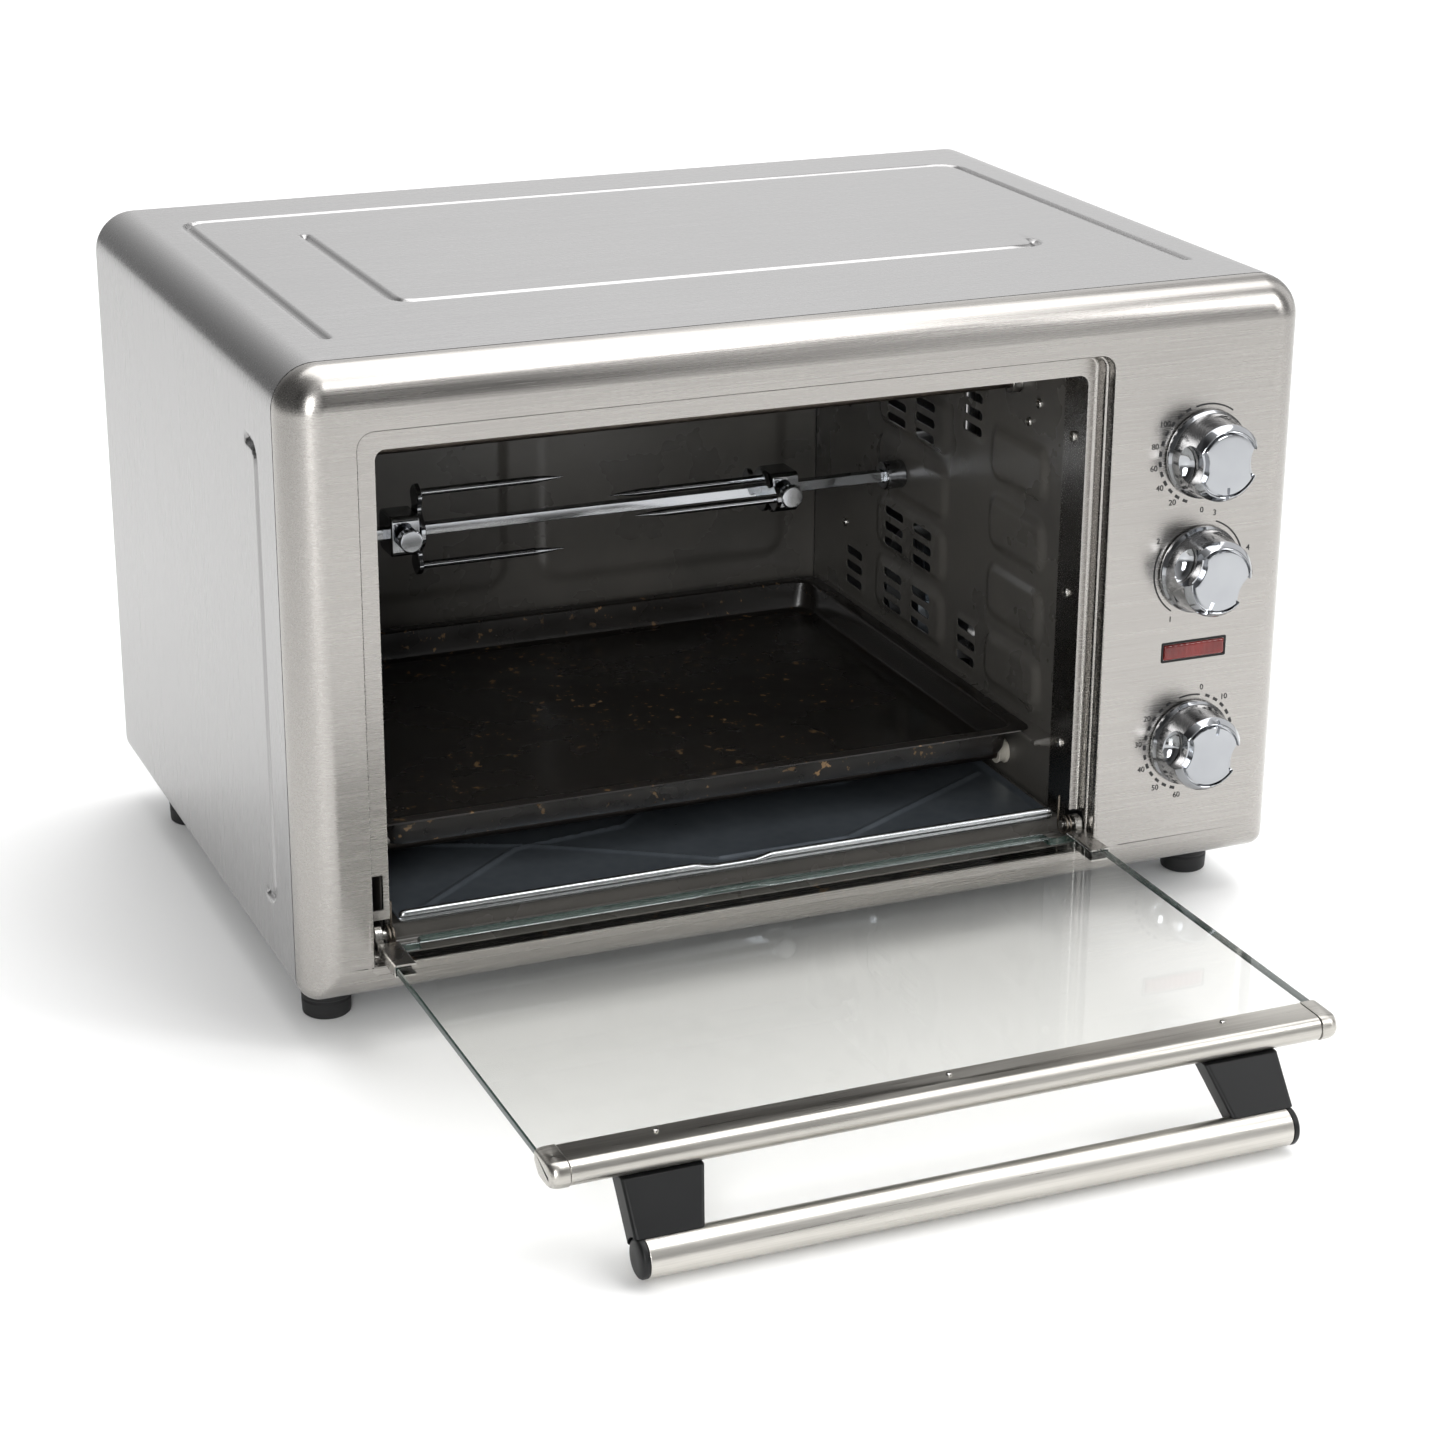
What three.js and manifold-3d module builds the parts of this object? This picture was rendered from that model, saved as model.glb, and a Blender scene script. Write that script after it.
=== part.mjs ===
// Countertop rotisserie oven, modelled in millimetres with +Z up.
// The front face looks along -Y, the door lies open and level, and z = 0 is the table top.
import * as THREE from 'three';
import { mergeVertices } from 'three/addons/utils/BufferGeometryUtils.js';
import Module from 'manifold-3d';

const wasm = await Module();
wasm.setup();

// ---------------------------------------------------------------- driving sizes
// Body shell. Depths are measured back from the front face plane.
const bodyWidth = 530;
const bodyHeight = 335;
const bodyDepth = 371;
const baseHeight = 24.5;
const bezelDepth = 19;
const sheet = 1.2;
const topCornerRadius = 21;
const lowCornerRadius = 10;
const wrapFlange = 16;

// Cooking opening in the front, and the recess the door closes into.
const openLeft = -219;
const openRight = 148;
const openBottom = 47;
const openTop = 292.5;
const recessBand = 13;
const recessTopBand = 13.5;
const recessBottom = 40;
const recessDepth = 15;
const recessRightBand = 8;
const recessCornerRadius = 9;
const sideFlangeDepth = 37;

// Cooking cavity.
const cavityDepth = 340;
const cavityFloorHeight = 53;
const sillHeight = 45.5;
const padHeight = 2.5;
const ledgeReach = 10;
const ledgeTop = 92.5;

// Door, hinge and handle.
const hingeY = 12;
const hingeZ = 54;
const doorLength = 248;
const doorSideGap = 3.5;
const glassThickness = 4;
const glassDrop = 2;
const railWidth = 20;
const railThickness = 11.5;
const clipLength = 9;
const barRadius = 9;
const barHeight = 12;
const barReach = 262;
const barLength = 318;
const postTopWidth = 38;
const postLowWidth = 29;

// Controls.
const controlX = 208.5;
const temperatureZ = 250;
const functionZ = 189.5;
const timerZ = 95.5;
const knobRadius = 23;
const knobDepth = 24;
const shaftRadius = 3;
const lampWidth = 36;
const lampHeight = 9;
const lampZ = 146;

// Spit, heaters and fan.
const spitY = 218;
const spitZ = 187;
const spitSize = 6;
const tineLength = 75;
const leftForkX = -146;
const rightForkX = 71;
const heaterRadius = 4;
const lowHeaterZ = 67;
const highHeaterZ = 272;
const frontHeaterY = 90;
const rearHeaterY = 270;
const fanY = 207;
const fanZ = 120;
const fanRadius = 33;

// Pans.
const panTop = 94;
const panDepth = 17;
const panFront = 50;
const panLength = 280;
const panFlange = 7;
const trayFront = 21;
const trayLength = 310;
const trayLip = 5;

// Feet.
const footRadius = 13;
const footSideInset = 23.5;
const footInset = 52;
const baseSideGap = 11;

// Clearances.
const gap = 0.3;
const runFit = 0.4;
const slideGap = 4;
const trayGap = 6.5;

// Cross sections that follow from the sizes above.
const halfWidth = bodyWidth / 2;
const footX = halfWidth - footSideInset;
const baseHalf = halfWidth - baseSideGap;
const recessLeft = openLeft - recessBand;
const recessRight = openRight + recessRightBand;
const recessTop = openTop + recessTopBand;
const wallLeft = openLeft - sheet - gap;
const wallRight = openRight + sheet + gap;
const doorLeft = recessLeft + doorSideGap;
const doorRight = recessRight - doorSideGap;
const doorMiddle = (doorLeft + doorRight) / 2;
const doorEnd = hingeY - doorLength;
const barY = hingeY - barReach;
const glandReach = 9;
const rearmost = bodyDepth + glandReach;
const foremost = barY - barRadius;
const centreShift = -(rearmost + foremost) / 2;

// ---------------------------------------------------------------- solid helpers
const cyclic = new THREE.Matrix4().makeBasis(
  new THREE.Vector3(0, 1, 0), new THREE.Vector3(0, 0, 1), new THREE.Vector3(1, 0, 0));

function box(x0, x1, y0, y1, z0, z1) {
  const geometry = new THREE.BoxGeometry(x1 - x0, y1 - y0, z1 - z0);
  return geometry.translate((x0 + x1) / 2, (y0 + y1) / 2, (z0 + z1) / 2);
}

function cylinderX(x0, x1, y, z, radius, sides = 24) {
  const geometry = new THREE.CylinderGeometry(radius, radius, x1 - x0, sides);
  return geometry.rotateZ(-Math.PI / 2).translate((x0 + x1) / 2, y, z);
}

function cylinderY(x, y0, y1, z, radius, sides = 24) {
  const geometry = new THREE.CylinderGeometry(radius, radius, y1 - y0, sides);
  return geometry.translate(x, (y0 + y1) / 2, z);
}

function cylinderZ(x, y, z0, z1, radius, sides = 24) {
  const geometry = new THREE.CylinderGeometry(radius, radius, z1 - z0, sides);
  return geometry.rotateX(Math.PI / 2).translate(x, y, (z0 + z1) / 2);
}

function shapeFrom(points) {
  return new THREE.Shape(points.map(([a, b]) => new THREE.Vector2(a, b)));
}

// A flat (y, z) outline pushed along X.
function pushX(points, x0, x1) {
  const geometry = new THREE.ExtrudeGeometry(shapeFrom(points), { depth: x1 - x0, bevelEnabled: false });
  return geometry.applyMatrix4(cyclic).translate(x0, 0, 0);
}

// A flat (x, z) outline pushed along Y.
function pushY(points, y0, y1) {
  const geometry = new THREE.ExtrudeGeometry(shapeFrom(points), { depth: y1 - y0, bevelEnabled: false });
  return geometry.rotateX(Math.PI / 2).translate(0, y1, 0);
}

// A flat (x, y) outline pushed along Z.
function pushZ(points, z0, z1) {
  const geometry = new THREE.ExtrudeGeometry(shapeFrom(points), { depth: z1 - z0, bevelEnabled: false });
  return geometry.translate(0, 0, z0);
}

// Corner points of a rectangle with rounded corners, counter-clockwise from bottom left.
function rounded(a0, a1, b0, b1, lowRadius, highRadius = lowRadius, steps = 4) {
  const points = [];
  const corners = [
    [a0 + lowRadius, b0 + lowRadius, lowRadius, Math.PI],
    [a1 - lowRadius, b0 + lowRadius, lowRadius, 1.5 * Math.PI],
    [a1 - highRadius, b1 - highRadius, highRadius, 0],
    [a0 + highRadius, b1 - highRadius, highRadius, 0.5 * Math.PI],
  ];
  for (const [ca, cb, radius, start] of corners) {
    for (let i = 0; i <= steps; i += 1) {
      const angle = start + (i / steps) * 0.5 * Math.PI;
      points.push([ca + radius * Math.cos(angle), cb + radius * Math.sin(angle)]);
    }
  }
  return points;
}

// A closed skin through rings of equal point count. Each ring lists [x, y, z] points that run
// counter-clockwise when seen from the first ring's outer side; flat picks the two cap coordinates.
function loft(rings, flat) {
  const positions = [];
  const index = [];
  const count = rings[0].length;
  for (const ring of rings) {
    for (const point of ring) positions.push(...point);
  }
  for (let r = 0; r + 1 < rings.length; r += 1) {
    for (let i = 0; i < count; i += 1) {
      const a = r * count + i;
      const b = r * count + ((i + 1) % count);
      index.push(a, b + count, b, a, a + count, b + count);
    }
  }
  const last = (rings.length - 1) * count;
  const faces = (ring) => THREE.ShapeUtils.triangulateShape(
    ring.map((point) => new THREE.Vector2(...flat(point))), []);
  for (const [a, b, c] of faces(rings[0])) index.push(a, b, c);
  for (const [a, b, c] of faces(rings[rings.length - 1])) index.push(last + a, last + c, last + b);
  const geometry = new THREE.BufferGeometry();
  geometry.setAttribute('position', new THREE.Float32BufferAttribute(positions, 3));
  geometry.setIndex(index);
  return geometry;
}

function toSolid(geometry) {
  const bare = geometry.clone();
  bare.deleteAttribute('normal');
  bare.deleteAttribute('uv');
  const welded = mergeVertices(bare, 1e-4);
  return new wasm.Manifold(new wasm.Mesh({
    numProp: 3,
    vertProperties: Float32Array.from(welded.attributes.position.array),
    triVerts: Uint32Array.from(welded.index.array),
  }));
}

function toGeometry(solid) {
  const mesh = solid.getMesh();
  const geometry = new THREE.BufferGeometry();
  geometry.setAttribute('position', new THREE.BufferAttribute(Float32Array.from(mesh.vertProperties), 3));
  geometry.setIndex(new THREE.BufferAttribute(Uint32Array.from(mesh.triVerts), 1));
  return geometry;
}

function join(...geometries) {
  let solid = toSolid(geometries[0]);
  for (const geometry of geometries.slice(1)) solid = solid.add(toSolid(geometry));
  return toGeometry(solid);
}

function cut(base, ...tools) {
  let solid = toSolid(base);
  for (const tool of tools) solid = solid.subtract(toSolid(tool));
  return toGeometry(solid);
}

const group = new THREE.Group();
group.name = 'rotisserie_oven';

function add(name, geometry, color, metalness, roughness) {
  const material = new THREE.MeshStandardMaterial({ color, metalness, roughness });
  material.name = `${name}_material`;
  const placed = geometry.clone().translate(0, centreShift, 0);
  placed.computeVertexNormals();
  const mesh = new THREE.Mesh(placed, material);
  mesh.name = name;
  group.add(mesh);
}

const steel = (name, geometry) => add(name, geometry, 0xb9b7b2, 0.9, 0.35);
const enamel = (name, geometry) => add(name, geometry, 0x1d1d1f, 0.3, 0.45);
const blackPlastic = (name, geometry) => add(name, geometry, 0x1a1b1d, 0, 0.6);
const chrome = (name, geometry) => add(name, geometry, 0xd6d7d8, 1, 0.12);

// ---------------------------------------------------------------- outer shell
// One bent sheet: two sides, the top, and flanges turned in under the base.
function wrapOutline(inset) {
  const ring = rounded(-halfWidth + inset, halfWidth - inset, baseHeight + inset, bodyHeight - inset,
    lowCornerRadius - inset, topCornerRadius - inset, 5);
  // The ring starts on the left side at the bottom left corner; start it on the base instead.
  const rightPart = ring.slice(6);
  const leftPart = ring.slice(0, 6);
  return [[halfWidth - wrapFlange, baseHeight + inset], ...rightPart, ...leftPart,
    [-halfWidth + wrapFlange, baseHeight + inset]];
}
const wrapFront = bezelDepth + gap;
const wrapShape = [...wrapOutline(0), ...wrapOutline(sheet).reverse()];
const grooveDepth = 0.5;
const grooveWidth = 4;
const outerGrooveX = 227;
const outerGrooveFront = 63;
const outerGrooveRear = 327;
const outerGrooveHook = 30;
const innerGrooveX = 175;
const innerGrooveFront = 114;
const innerGrooveRear = 275;
const innerGrooveHook = 16;
const sideGrooveFront = 48;
const sideGrooveLow = 60;
const sideGrooveHigh = 292;
const sideGrooveHook = 16;
function topGroove(x0, x1, y0, y1) {
  return box(x0, x1, y0, y1, bodyHeight - grooveDepth, bodyHeight + 1);
}
const grooves = [
  topGroove(-innerGrooveX, innerGrooveX, innerGrooveFront, innerGrooveFront + grooveWidth),
  topGroove(-innerGrooveX, -innerGrooveX + grooveWidth, innerGrooveFront, innerGrooveRear),
  topGroove(innerGrooveX - grooveWidth, innerGrooveX, innerGrooveFront, innerGrooveFront + innerGrooveHook),
];
for (const side of [-1, 1]) {
  const line = (from, to, y0, y1) => topGroove(Math.min(side * from, side * to),
    Math.max(side * from, side * to), y0, y1);
  grooves.push(line(outerGrooveX, outerGrooveX - grooveWidth, outerGrooveFront, outerGrooveRear));
  grooves.push(line(outerGrooveX, outerGrooveX - outerGrooveHook, outerGrooveRear - grooveWidth, outerGrooveRear));
  const near = side * (halfWidth - grooveDepth);
  const far = side * (halfWidth + 1);
  const onSide = (y1, z0, z1) => box(Math.min(near, far), Math.max(near, far), sideGrooveFront, y1, z0, z1);
  grooves.push(onSide(sideGrooveFront + grooveWidth, sideGrooveLow, sideGrooveHigh));
  grooves.push(onSide(sideGrooveFront + sideGrooveHook, sideGrooveHigh - grooveWidth, sideGrooveHigh));
  grooves.push(onSide(sideGrooveFront + sideGrooveHook, sideGrooveLow, sideGrooveLow + grooveWidth));
}
steel('outer_wrap', cut(pushY(wrapShape, wrapFront, bodyDepth), ...grooves));

// Pressed front panel: broad rounded edge, door recess, return flanges inside the opening.
function bezelRing(inset) {
  const low = Math.max(lowCornerRadius - inset, 1.5);
  const high = Math.max(topCornerRadius - inset, 1.5);
  return rounded(-halfWidth + inset, halfWidth - inset, baseHeight + inset, bodyHeight - inset, low, high, 5);
}
function bezelBlock(offset, back) {
  const radius = bezelDepth - offset;
  const steps = 6;
  const rings = [];
  for (let i = 0; i <= steps; i += 1) {
    const angle = (i / steps) * 0.5 * Math.PI;
    const y = bezelDepth - radius * Math.cos(angle);
    const inset = offset + radius * (1 - Math.sin(angle));
    rings.push(bezelRing(inset).map(([x, z]) => [x, y, z]));
  }
  if (back > bezelDepth) rings.push(bezelRing(offset).map(([x, z]) => [x, back, z]));
  return loft(rings, ([x, , z]) => [x, z]);
}
const frontPlaneHole = rounded(recessLeft, recessRight, recessBottom, recessTop, 3, recessCornerRadius, 4);
const recessOuter = rounded(recessLeft - sheet, recessRight + sheet, recessBottom, recessTop + sheet, 3,
  recessCornerRadius + sheet, 4);
const openingHole = rounded(openLeft, openRight, recessBottom - 1, openTop, 1, 4, 3);
const flangeOuter = rounded(openLeft - sheet, openRight + sheet, openBottom + 14, openTop + sheet, 1, 4, 3);
const flangeInner = rounded(openLeft, openRight, openBottom - 20, openTop, 1, 4, 3);
const shellBlank = cut(bezelBlock(0, bezelDepth), bezelBlock(sheet, bezelDepth + 1),
  pushY(frontPlaneHole, -1, recessDepth));
const recessCup = cut(pushY(recessOuter, 0.2, recessDepth), pushY(frontPlaneHole, -1, recessDepth - sheet),
  pushY(openingHole, -2, recessDepth + 1));
const openingFlange = cut(pushY(flangeOuter, recessDepth - sheet, sideFlangeDepth),
  pushY(flangeInner, recessDepth - sheet - 1, sideFlangeDepth + 1));
const shaftHoles = [temperatureZ, functionZ, timerZ].map(
  (z) => cylinderY(controlX, -1, 3, z, shaftRadius + 1, 20));
const springSlots = [recessLeft + 3, recessRight - 6].map(
  (x) => box(x, x + 4, recessDepth - 3, recessDepth + 1, 66, 84));
const hingePocket = box(recessLeft, recessRight, recessDepth - sheet - 0.5, recessDepth + 1,
  recessBottom - 1, 61);
const pinHoles = cylinderX(recessLeft - 3, recessRight + 3, hingeY, hingeZ, 2.5 + gap, 16);
steel('front_bezel', cut(join(shellBlank, recessCup, openingFlange), ...shaftHoles, ...springSlots, pinHoles,
  hingePocket,
  box(controlX - lampWidth / 2, controlX + lampWidth / 2, -1, 3, lampZ - lampHeight / 2, lampZ + lampHeight / 2)));

// Rear panel set inside the wrap, with cooling slots and the cord hole.
const rearInset = sheet + gap;
const rearPlate = pushY(rounded(-halfWidth + rearInset, halfWidth - rearInset, baseHeight + rearInset + 3,
  bodyHeight - rearInset, lowCornerRadius - rearInset, topCornerRadius - rearInset, 4),
bodyDepth - 3, bodyDepth - 3 + sheet);
const rearSlots = [];
for (let i = 0; i < 9; i += 1) {
  rearSlots.push(box(170 + i * 9, 174 + i * 9, bodyDepth - 5, bodyDepth, 215, 275));
}
const cordX = 228;
const cordZ = 62;
rearSlots.push(cylinderY(cordX, bodyDepth - 5, bodyDepth, cordZ, 7 + gap, 20));
steel('rear_panel', cut(rearPlate, ...rearSlots));

// Strain relief that grips the mains lead where it leaves the rear panel.
blackPlastic('cord_grommet', cut(join(
  cylinderY(cordX, bodyDepth - 3 + sheet + gap, bodyDepth + 2, cordZ, 11, 20),
  cylinderY(cordX, bodyDepth - 8, bodyDepth + glandReach, cordZ, 7, 20)),
cylinderY(cordX, bodyDepth - 9, bodyDepth + glandReach + 1, cordZ, 3.6, 16)));

// Base plate with upturned front and rear edges, drilled for the foot studs.
const baseTop = baseHeight + sheet + gap + sheet;
const baseFront = bezelDepth + 3;
const baseRear = bodyDepth - 6;
const basePan = join(box(-baseHalf, baseHalf, baseFront, baseRear, baseTop - sheet, baseTop),
  box(-baseHalf, baseHalf, baseFront, baseFront + sheet, baseTop - sheet, baseTop + 9),
  box(-baseHalf, baseHalf, baseRear - sheet, baseRear, baseTop - sheet, baseTop + 9));
const footPlaces = [
  ['foot_front_left', -footX, footInset],
  ['foot_front_right', footX, footInset],
  ['foot_rear_left', -footX, bodyDepth - footInset],
  ['foot_rear_right', footX, bodyDepth - footInset],
];
const studRadius = 4;
const studHoles = footPlaces.map(([, x, y]) => cylinderZ(x, y, baseTop - 3, baseTop + 2, studRadius + gap, 16));
const baseVents = [];
for (let i = 0; i < 6; i += 1) {
  baseVents.push(box(175 + i * 10, 179 + i * 10, 190, 250, baseTop - 3, baseTop + 2));
}
steel('base_pan', cut(basePan, ...studHoles, ...baseVents));

// Moulded feet: round pad, slight taper, stud up through the wrap flange and base plate.
for (const [name, x, y] of footPlaces) {
  const outline = [[0, 0], [footRadius - 2, 0], [footRadius - 1, 1], [footRadius, baseHeight - gap],
    [studRadius, baseHeight - gap], [studRadius, baseTop + 3], [0, baseTop + 3]];
  const lathe = new THREE.LatheGeometry(outline.map(([a, b]) => new THREE.Vector2(a, b)), 24);
  blackPlastic(name, join(lathe.rotateX(Math.PI / 2).translate(x, y, 0)));
}

// ---------------------------------------------------------------- cooking cavity
// Side walls carry pressed pads, cooling slots, a pressed ledge for the pan and heater holes.
const wallFront = recessDepth + 7;
const wallFoot = 47;
const wallHead = openTop + 3.5;
const frontPads = [[53, 116, 99, 129], [53, 116, 137, 167], [53, 116, 175, 205], [53, 116, 213, 243]];
const rearPads = [[165, 253, 99, 131], [165, 253, 136, 167], [165, 253, 172, 204], [165, 253, 209, 240]];
const heaterPlaces = [
  ['lower_element_front', frontHeaterY, lowHeaterZ],
  ['lower_element_rear', rearHeaterY, lowHeaterZ],
  ['upper_element_front', frontHeaterY, highHeaterZ],
  ['upper_element_rear', rearHeaterY, highHeaterZ],
];
function slotHole(x, y0, y1, z) {
  return pushX(rounded(y0, y1, z - 2.5, z + 2.5, 2.2, 2.2, 1), x - 6, x + 6);
}
// inner is the face the food sees; outward is -1 on the left wall and +1 on the right wall.
function sideWall(inner, outward) {
  const span = (from, to) => [Math.min(inner + from * outward, inner + to * outward),
    Math.max(inner + from * outward, inner + to * outward)];
  const [plate0, plate1] = span(0, sheet);
  const parts = [box(plate0, plate1, wallFront, cavityDepth - gap, wallFoot, wallHead)];
  const pockets = [];
  for (const [y0, y1, z0, z1] of [...frontPads, ...rearPads]) {
    parts.push(pushX(rounded(y0, y1, z0, z1, 7, 7, 3), ...span(-padHeight, sheet / 2)));
    pockets.push(pushX(rounded(y0 + sheet, y1 - sheet, z0 + sheet, z1 - sheet, 6, 6, 3),
      ...span(-padHeight + sheet, sheet + 1)));
  }
  parts.push(box(...span(-ledgeReach, sheet / 2), 40, 330, ledgeTop - 4.4, ledgeTop));
  pockets.push(box(...span(-ledgeReach + sheet, sheet + 1), 40 + sheet, 330 - sheet,
    ledgeTop - 4.4 + sheet, ledgeTop - sheet));
  for (const [, y, z] of heaterPlaces) pockets.push(cylinderX(inner - 3, inner + 3, y, z, heaterRadius + gap, 16));
  return [parts, pockets];
}
const [leftParts, leftPockets] = sideWall(wallLeft, -1);
enamel('cavity_left_wall', cut(join(...leftParts), ...leftPockets));
const [rightParts, rightPockets] = sideWall(wallRight, 1);
const slotRows = [-9, 0, 9];
for (const [y0, y1, z0, z1] of [rearPads[0], rearPads[1], rearPads[3]]) {
  for (const dz of slotRows) {
    rightPockets.push(slotHole(wallRight, y0 + 14, y0 + 38, (z0 + z1) / 2 + dz));
    rightPockets.push(slotHole(wallRight, y1 - 38, y1 - 14, (z0 + z1) / 2 + dz));
  }
}
for (const [y, z] of [[128, 242], [128, 112], [272, 112]]) {
  for (const dz of slotRows) rightPockets.push(slotHole(wallRight, y, y + 22, z + dz));
}
const socketShank = 5;
rightPockets.push(cylinderX(wallRight - 3, wallRight + 3, spitY, spitZ, socketShank + runFit, 20));
enamel('cavity_right_wall', cut(join(...rightParts), ...rightPockets));

const insideLeft = wallLeft + gap;
const insideRight = wallRight - gap;
const roofLow = openTop + sheet + gap;
enamel('cavity_roof', join(
  box(insideLeft, insideRight, wallFront, cavityDepth - gap, roofLow, roofLow + sheet),
  box(insideLeft + 40, insideRight - 40, 150, 156, roofLow, roofLow + sheet + 3),
  box(insideLeft + 40, insideRight - 40, 210, 216, roofLow, roofLow + sheet + 3)));

const backPanel = box(insideLeft, insideRight, cavityDepth, cavityDepth + sheet, wallFoot + 8, wallHead);
const backPress = [];
for (const x of [insideLeft + 20, (insideLeft + insideRight) / 2 + 8]) {
  const wide = (insideRight - insideLeft) / 2 - 28;
  backPress.push(pushY(rounded(x, x + wide, 105, 262, 12, 12, 3), cavityDepth - padHeight, cavityDepth + 0.5));
}
const backPockets = [];
for (const x of [insideLeft + 20, (insideLeft + insideRight) / 2 + 8]) {
  const wide = (insideRight - insideLeft) / 2 - 28;
  backPockets.push(pushY(rounded(x + sheet, x + wide - sheet, 105 + sheet, 262 - sheet, 11, 11, 3),
    cavityDepth - padHeight + sheet, cavityDepth + sheet + 1));
}
enamel('cavity_back_wall', cut(join(backPanel, ...backPress), ...backPockets));

// Floor sheet: low sill with two ribs at the mouth, a riser, then the flat the crumb tray runs on.
const riserY = 22;
const sillFront = 5;
const floorOutline = [[sillFront, sillHeight], [riserY + sheet, sillHeight],
  [riserY + sheet, cavityFloorHeight], [cavityDepth - gap, cavityFloorHeight],
  [cavityDepth - gap, cavityFloorHeight + sheet], [riserY, cavityFloorHeight + sheet],
  [riserY, sillHeight + sheet], [sillFront, sillHeight + sheet]];
const sillRib = (y) => box(openLeft + 20, openRight - 20, y, y + 1.5, sillHeight + 0.5, sillHeight + sheet + 1);
enamel('cavity_floor', join(pushX(floorOutline, openLeft + gap, openRight - gap), sillRib(13), sillRib(17)));

// Sheathed heater rods: ceramic collar inside each wall, thin terminal outside it.
for (const [name, y, z] of heaterPlaces) {
  add(name, join(
    cylinderX(wallLeft - 9, wallRight + 9, y, z, heaterRadius, 14),
    cylinderX(wallLeft + gap, wallLeft + 6, y, z, heaterRadius + 3, 12),
    cylinderX(wallRight - 6, wallRight - gap, y, z, heaterRadius + 3, 12),
    cylinderX(wallLeft - 20, wallRight + 20, y, z, 1.6, 8)), 0x4a4a4c, 0.6, 0.5);
}

// ---------------------------------------------------------------- spit and its drive
// Gear motor behind the right wall, with a bore for the socket shank.
const motorFace = wallRight + sheet + gap;
const gearMotor = join(cylinderX(motorFace, motorFace + 24, spitY, spitZ, 22, 28),
  box(motorFace, motorFace + 1.6, spitY - 30, spitY + 30, spitZ - 7, spitZ + 7));
steel('rotisserie_gearmotor', cut(gearMotor,
  cylinderX(motorFace - 1, motorFace + 10, spitY, spitZ, socketShank + runFit, 20)));

const socketFront = wallRight - padHeight - gap - 12.5;
const socketBack = wallRight - padHeight - gap;
const squareX = (x0, x1, half) => box(x0, x1, spitY - half, spitY + half, spitZ - half, spitZ + half);
const spitHalf = spitSize / 2;
chrome('drive_socket', cut(join(
  cylinderX(socketFront, socketBack, spitY, spitZ, 8, 24),
  cylinderX(socketBack - 1, motorFace + 9, spitY, spitZ, socketShank, 20)),
squareX(socketFront - 1, socketFront + 10, spitHalf + runFit)));

// Square rod: turned neck and end stop on the left, square end in the socket on the right.
const journal = 2.2;
const hookPlate = wallLeft + padHeight + gap;
const restX = hookPlate + 8.2;
chrome('spit_rod', join(
  squareX(restX + 4, socketFront + 9.4, spitHalf),
  cylinderX(restX - 3, restX + 5, spitY, spitZ, journal, 16),
  cylinderX(hookPlate + sheet + gap, restX - 2, spitY, spitZ, 4, 16)));

// Bent hook on the left wall; its open notch carries the turned neck of the rod.
const hook = join(
  box(hookPlate, hookPlate + sheet, spitY - 12, spitY + 12, spitZ - 31, spitZ + 14),
  box(hookPlate, restX + sheet, spitY - 12, spitY + 12, spitZ - 31, spitZ - 31 + sheet),
  box(restX, restX + sheet, spitY - 12, spitY + 12, spitZ - 31, spitZ + 9));
steel('spit_support', cut(hook,
  cylinderX(restX - 1, restX + 3, spitY, spitZ, journal + runFit, 16),
  box(restX - 1, restX + 3, spitY - journal - runFit, spitY + journal + runFit, spitZ, spitZ + 12)));

// Meat forks: square-bored hub, cross bar and two pointed tines, clamped by a thumbscrew.
const hubHalf = 8;
const screwRadius = 2.2;
const hubFront = spitY - 11;
function fork(x, inward, upright) {
  const ordered = (a, b) => [x + Math.min(a * inward, b * inward), x + Math.max(a * inward, b * inward)];
  const hub = box(x - hubHalf, x + hubHalf, hubFront, spitY + 11, spitZ - 11, spitZ + 11);
  const wide = upright ? 6 : 24;
  const tall = upright ? 24 : 6;
  const parts = [hub, box(...ordered(hubHalf - 1, hubHalf + 3), spitY - wide, spitY + wide,
    spitZ - tall, spitZ + tall)];
  for (const side of [-20, 20]) {
    const y = spitY + (upright ? 0 : side);
    const z = spitZ + (upright ? side : 0);
    const tip = new THREE.ConeGeometry(2, 9, 10).rotateZ(-inward * Math.PI / 2);
    parts.push(cylinderX(...ordered(hubHalf, hubHalf + tineLength), y, z, 2, 10));
    parts.push(tip.translate(x + inward * (hubHalf + tineLength + 4.5), y, z));
  }
  return cut(join(...parts), squareX(x - 30, x + 30, spitHalf + gap),
    cylinderY(x, hubFront - 1, spitY, spitZ, screwRadius + gap, 16));
}
function thumbscrew(x) {
  return join(cylinderY(x, hubFront - 10, hubFront - 4, spitZ, 6.5, 20),
    cylinderY(x, hubFront - 5, hubFront - 1, spitZ, 3.4, 16),
    cylinderY(x, hubFront - 2, spitY - spitHalf - gap, spitZ, screwRadius, 16));
}
chrome('spit_fork_left', fork(leftForkX, 1, true));
chrome('spit_fork_right', fork(rightForkX, -1, false));
chrome('fork_thumbscrew_left', thumbscrew(leftForkX));
chrome('fork_thumbscrew_right', thumbscrew(rightForkX));

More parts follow.
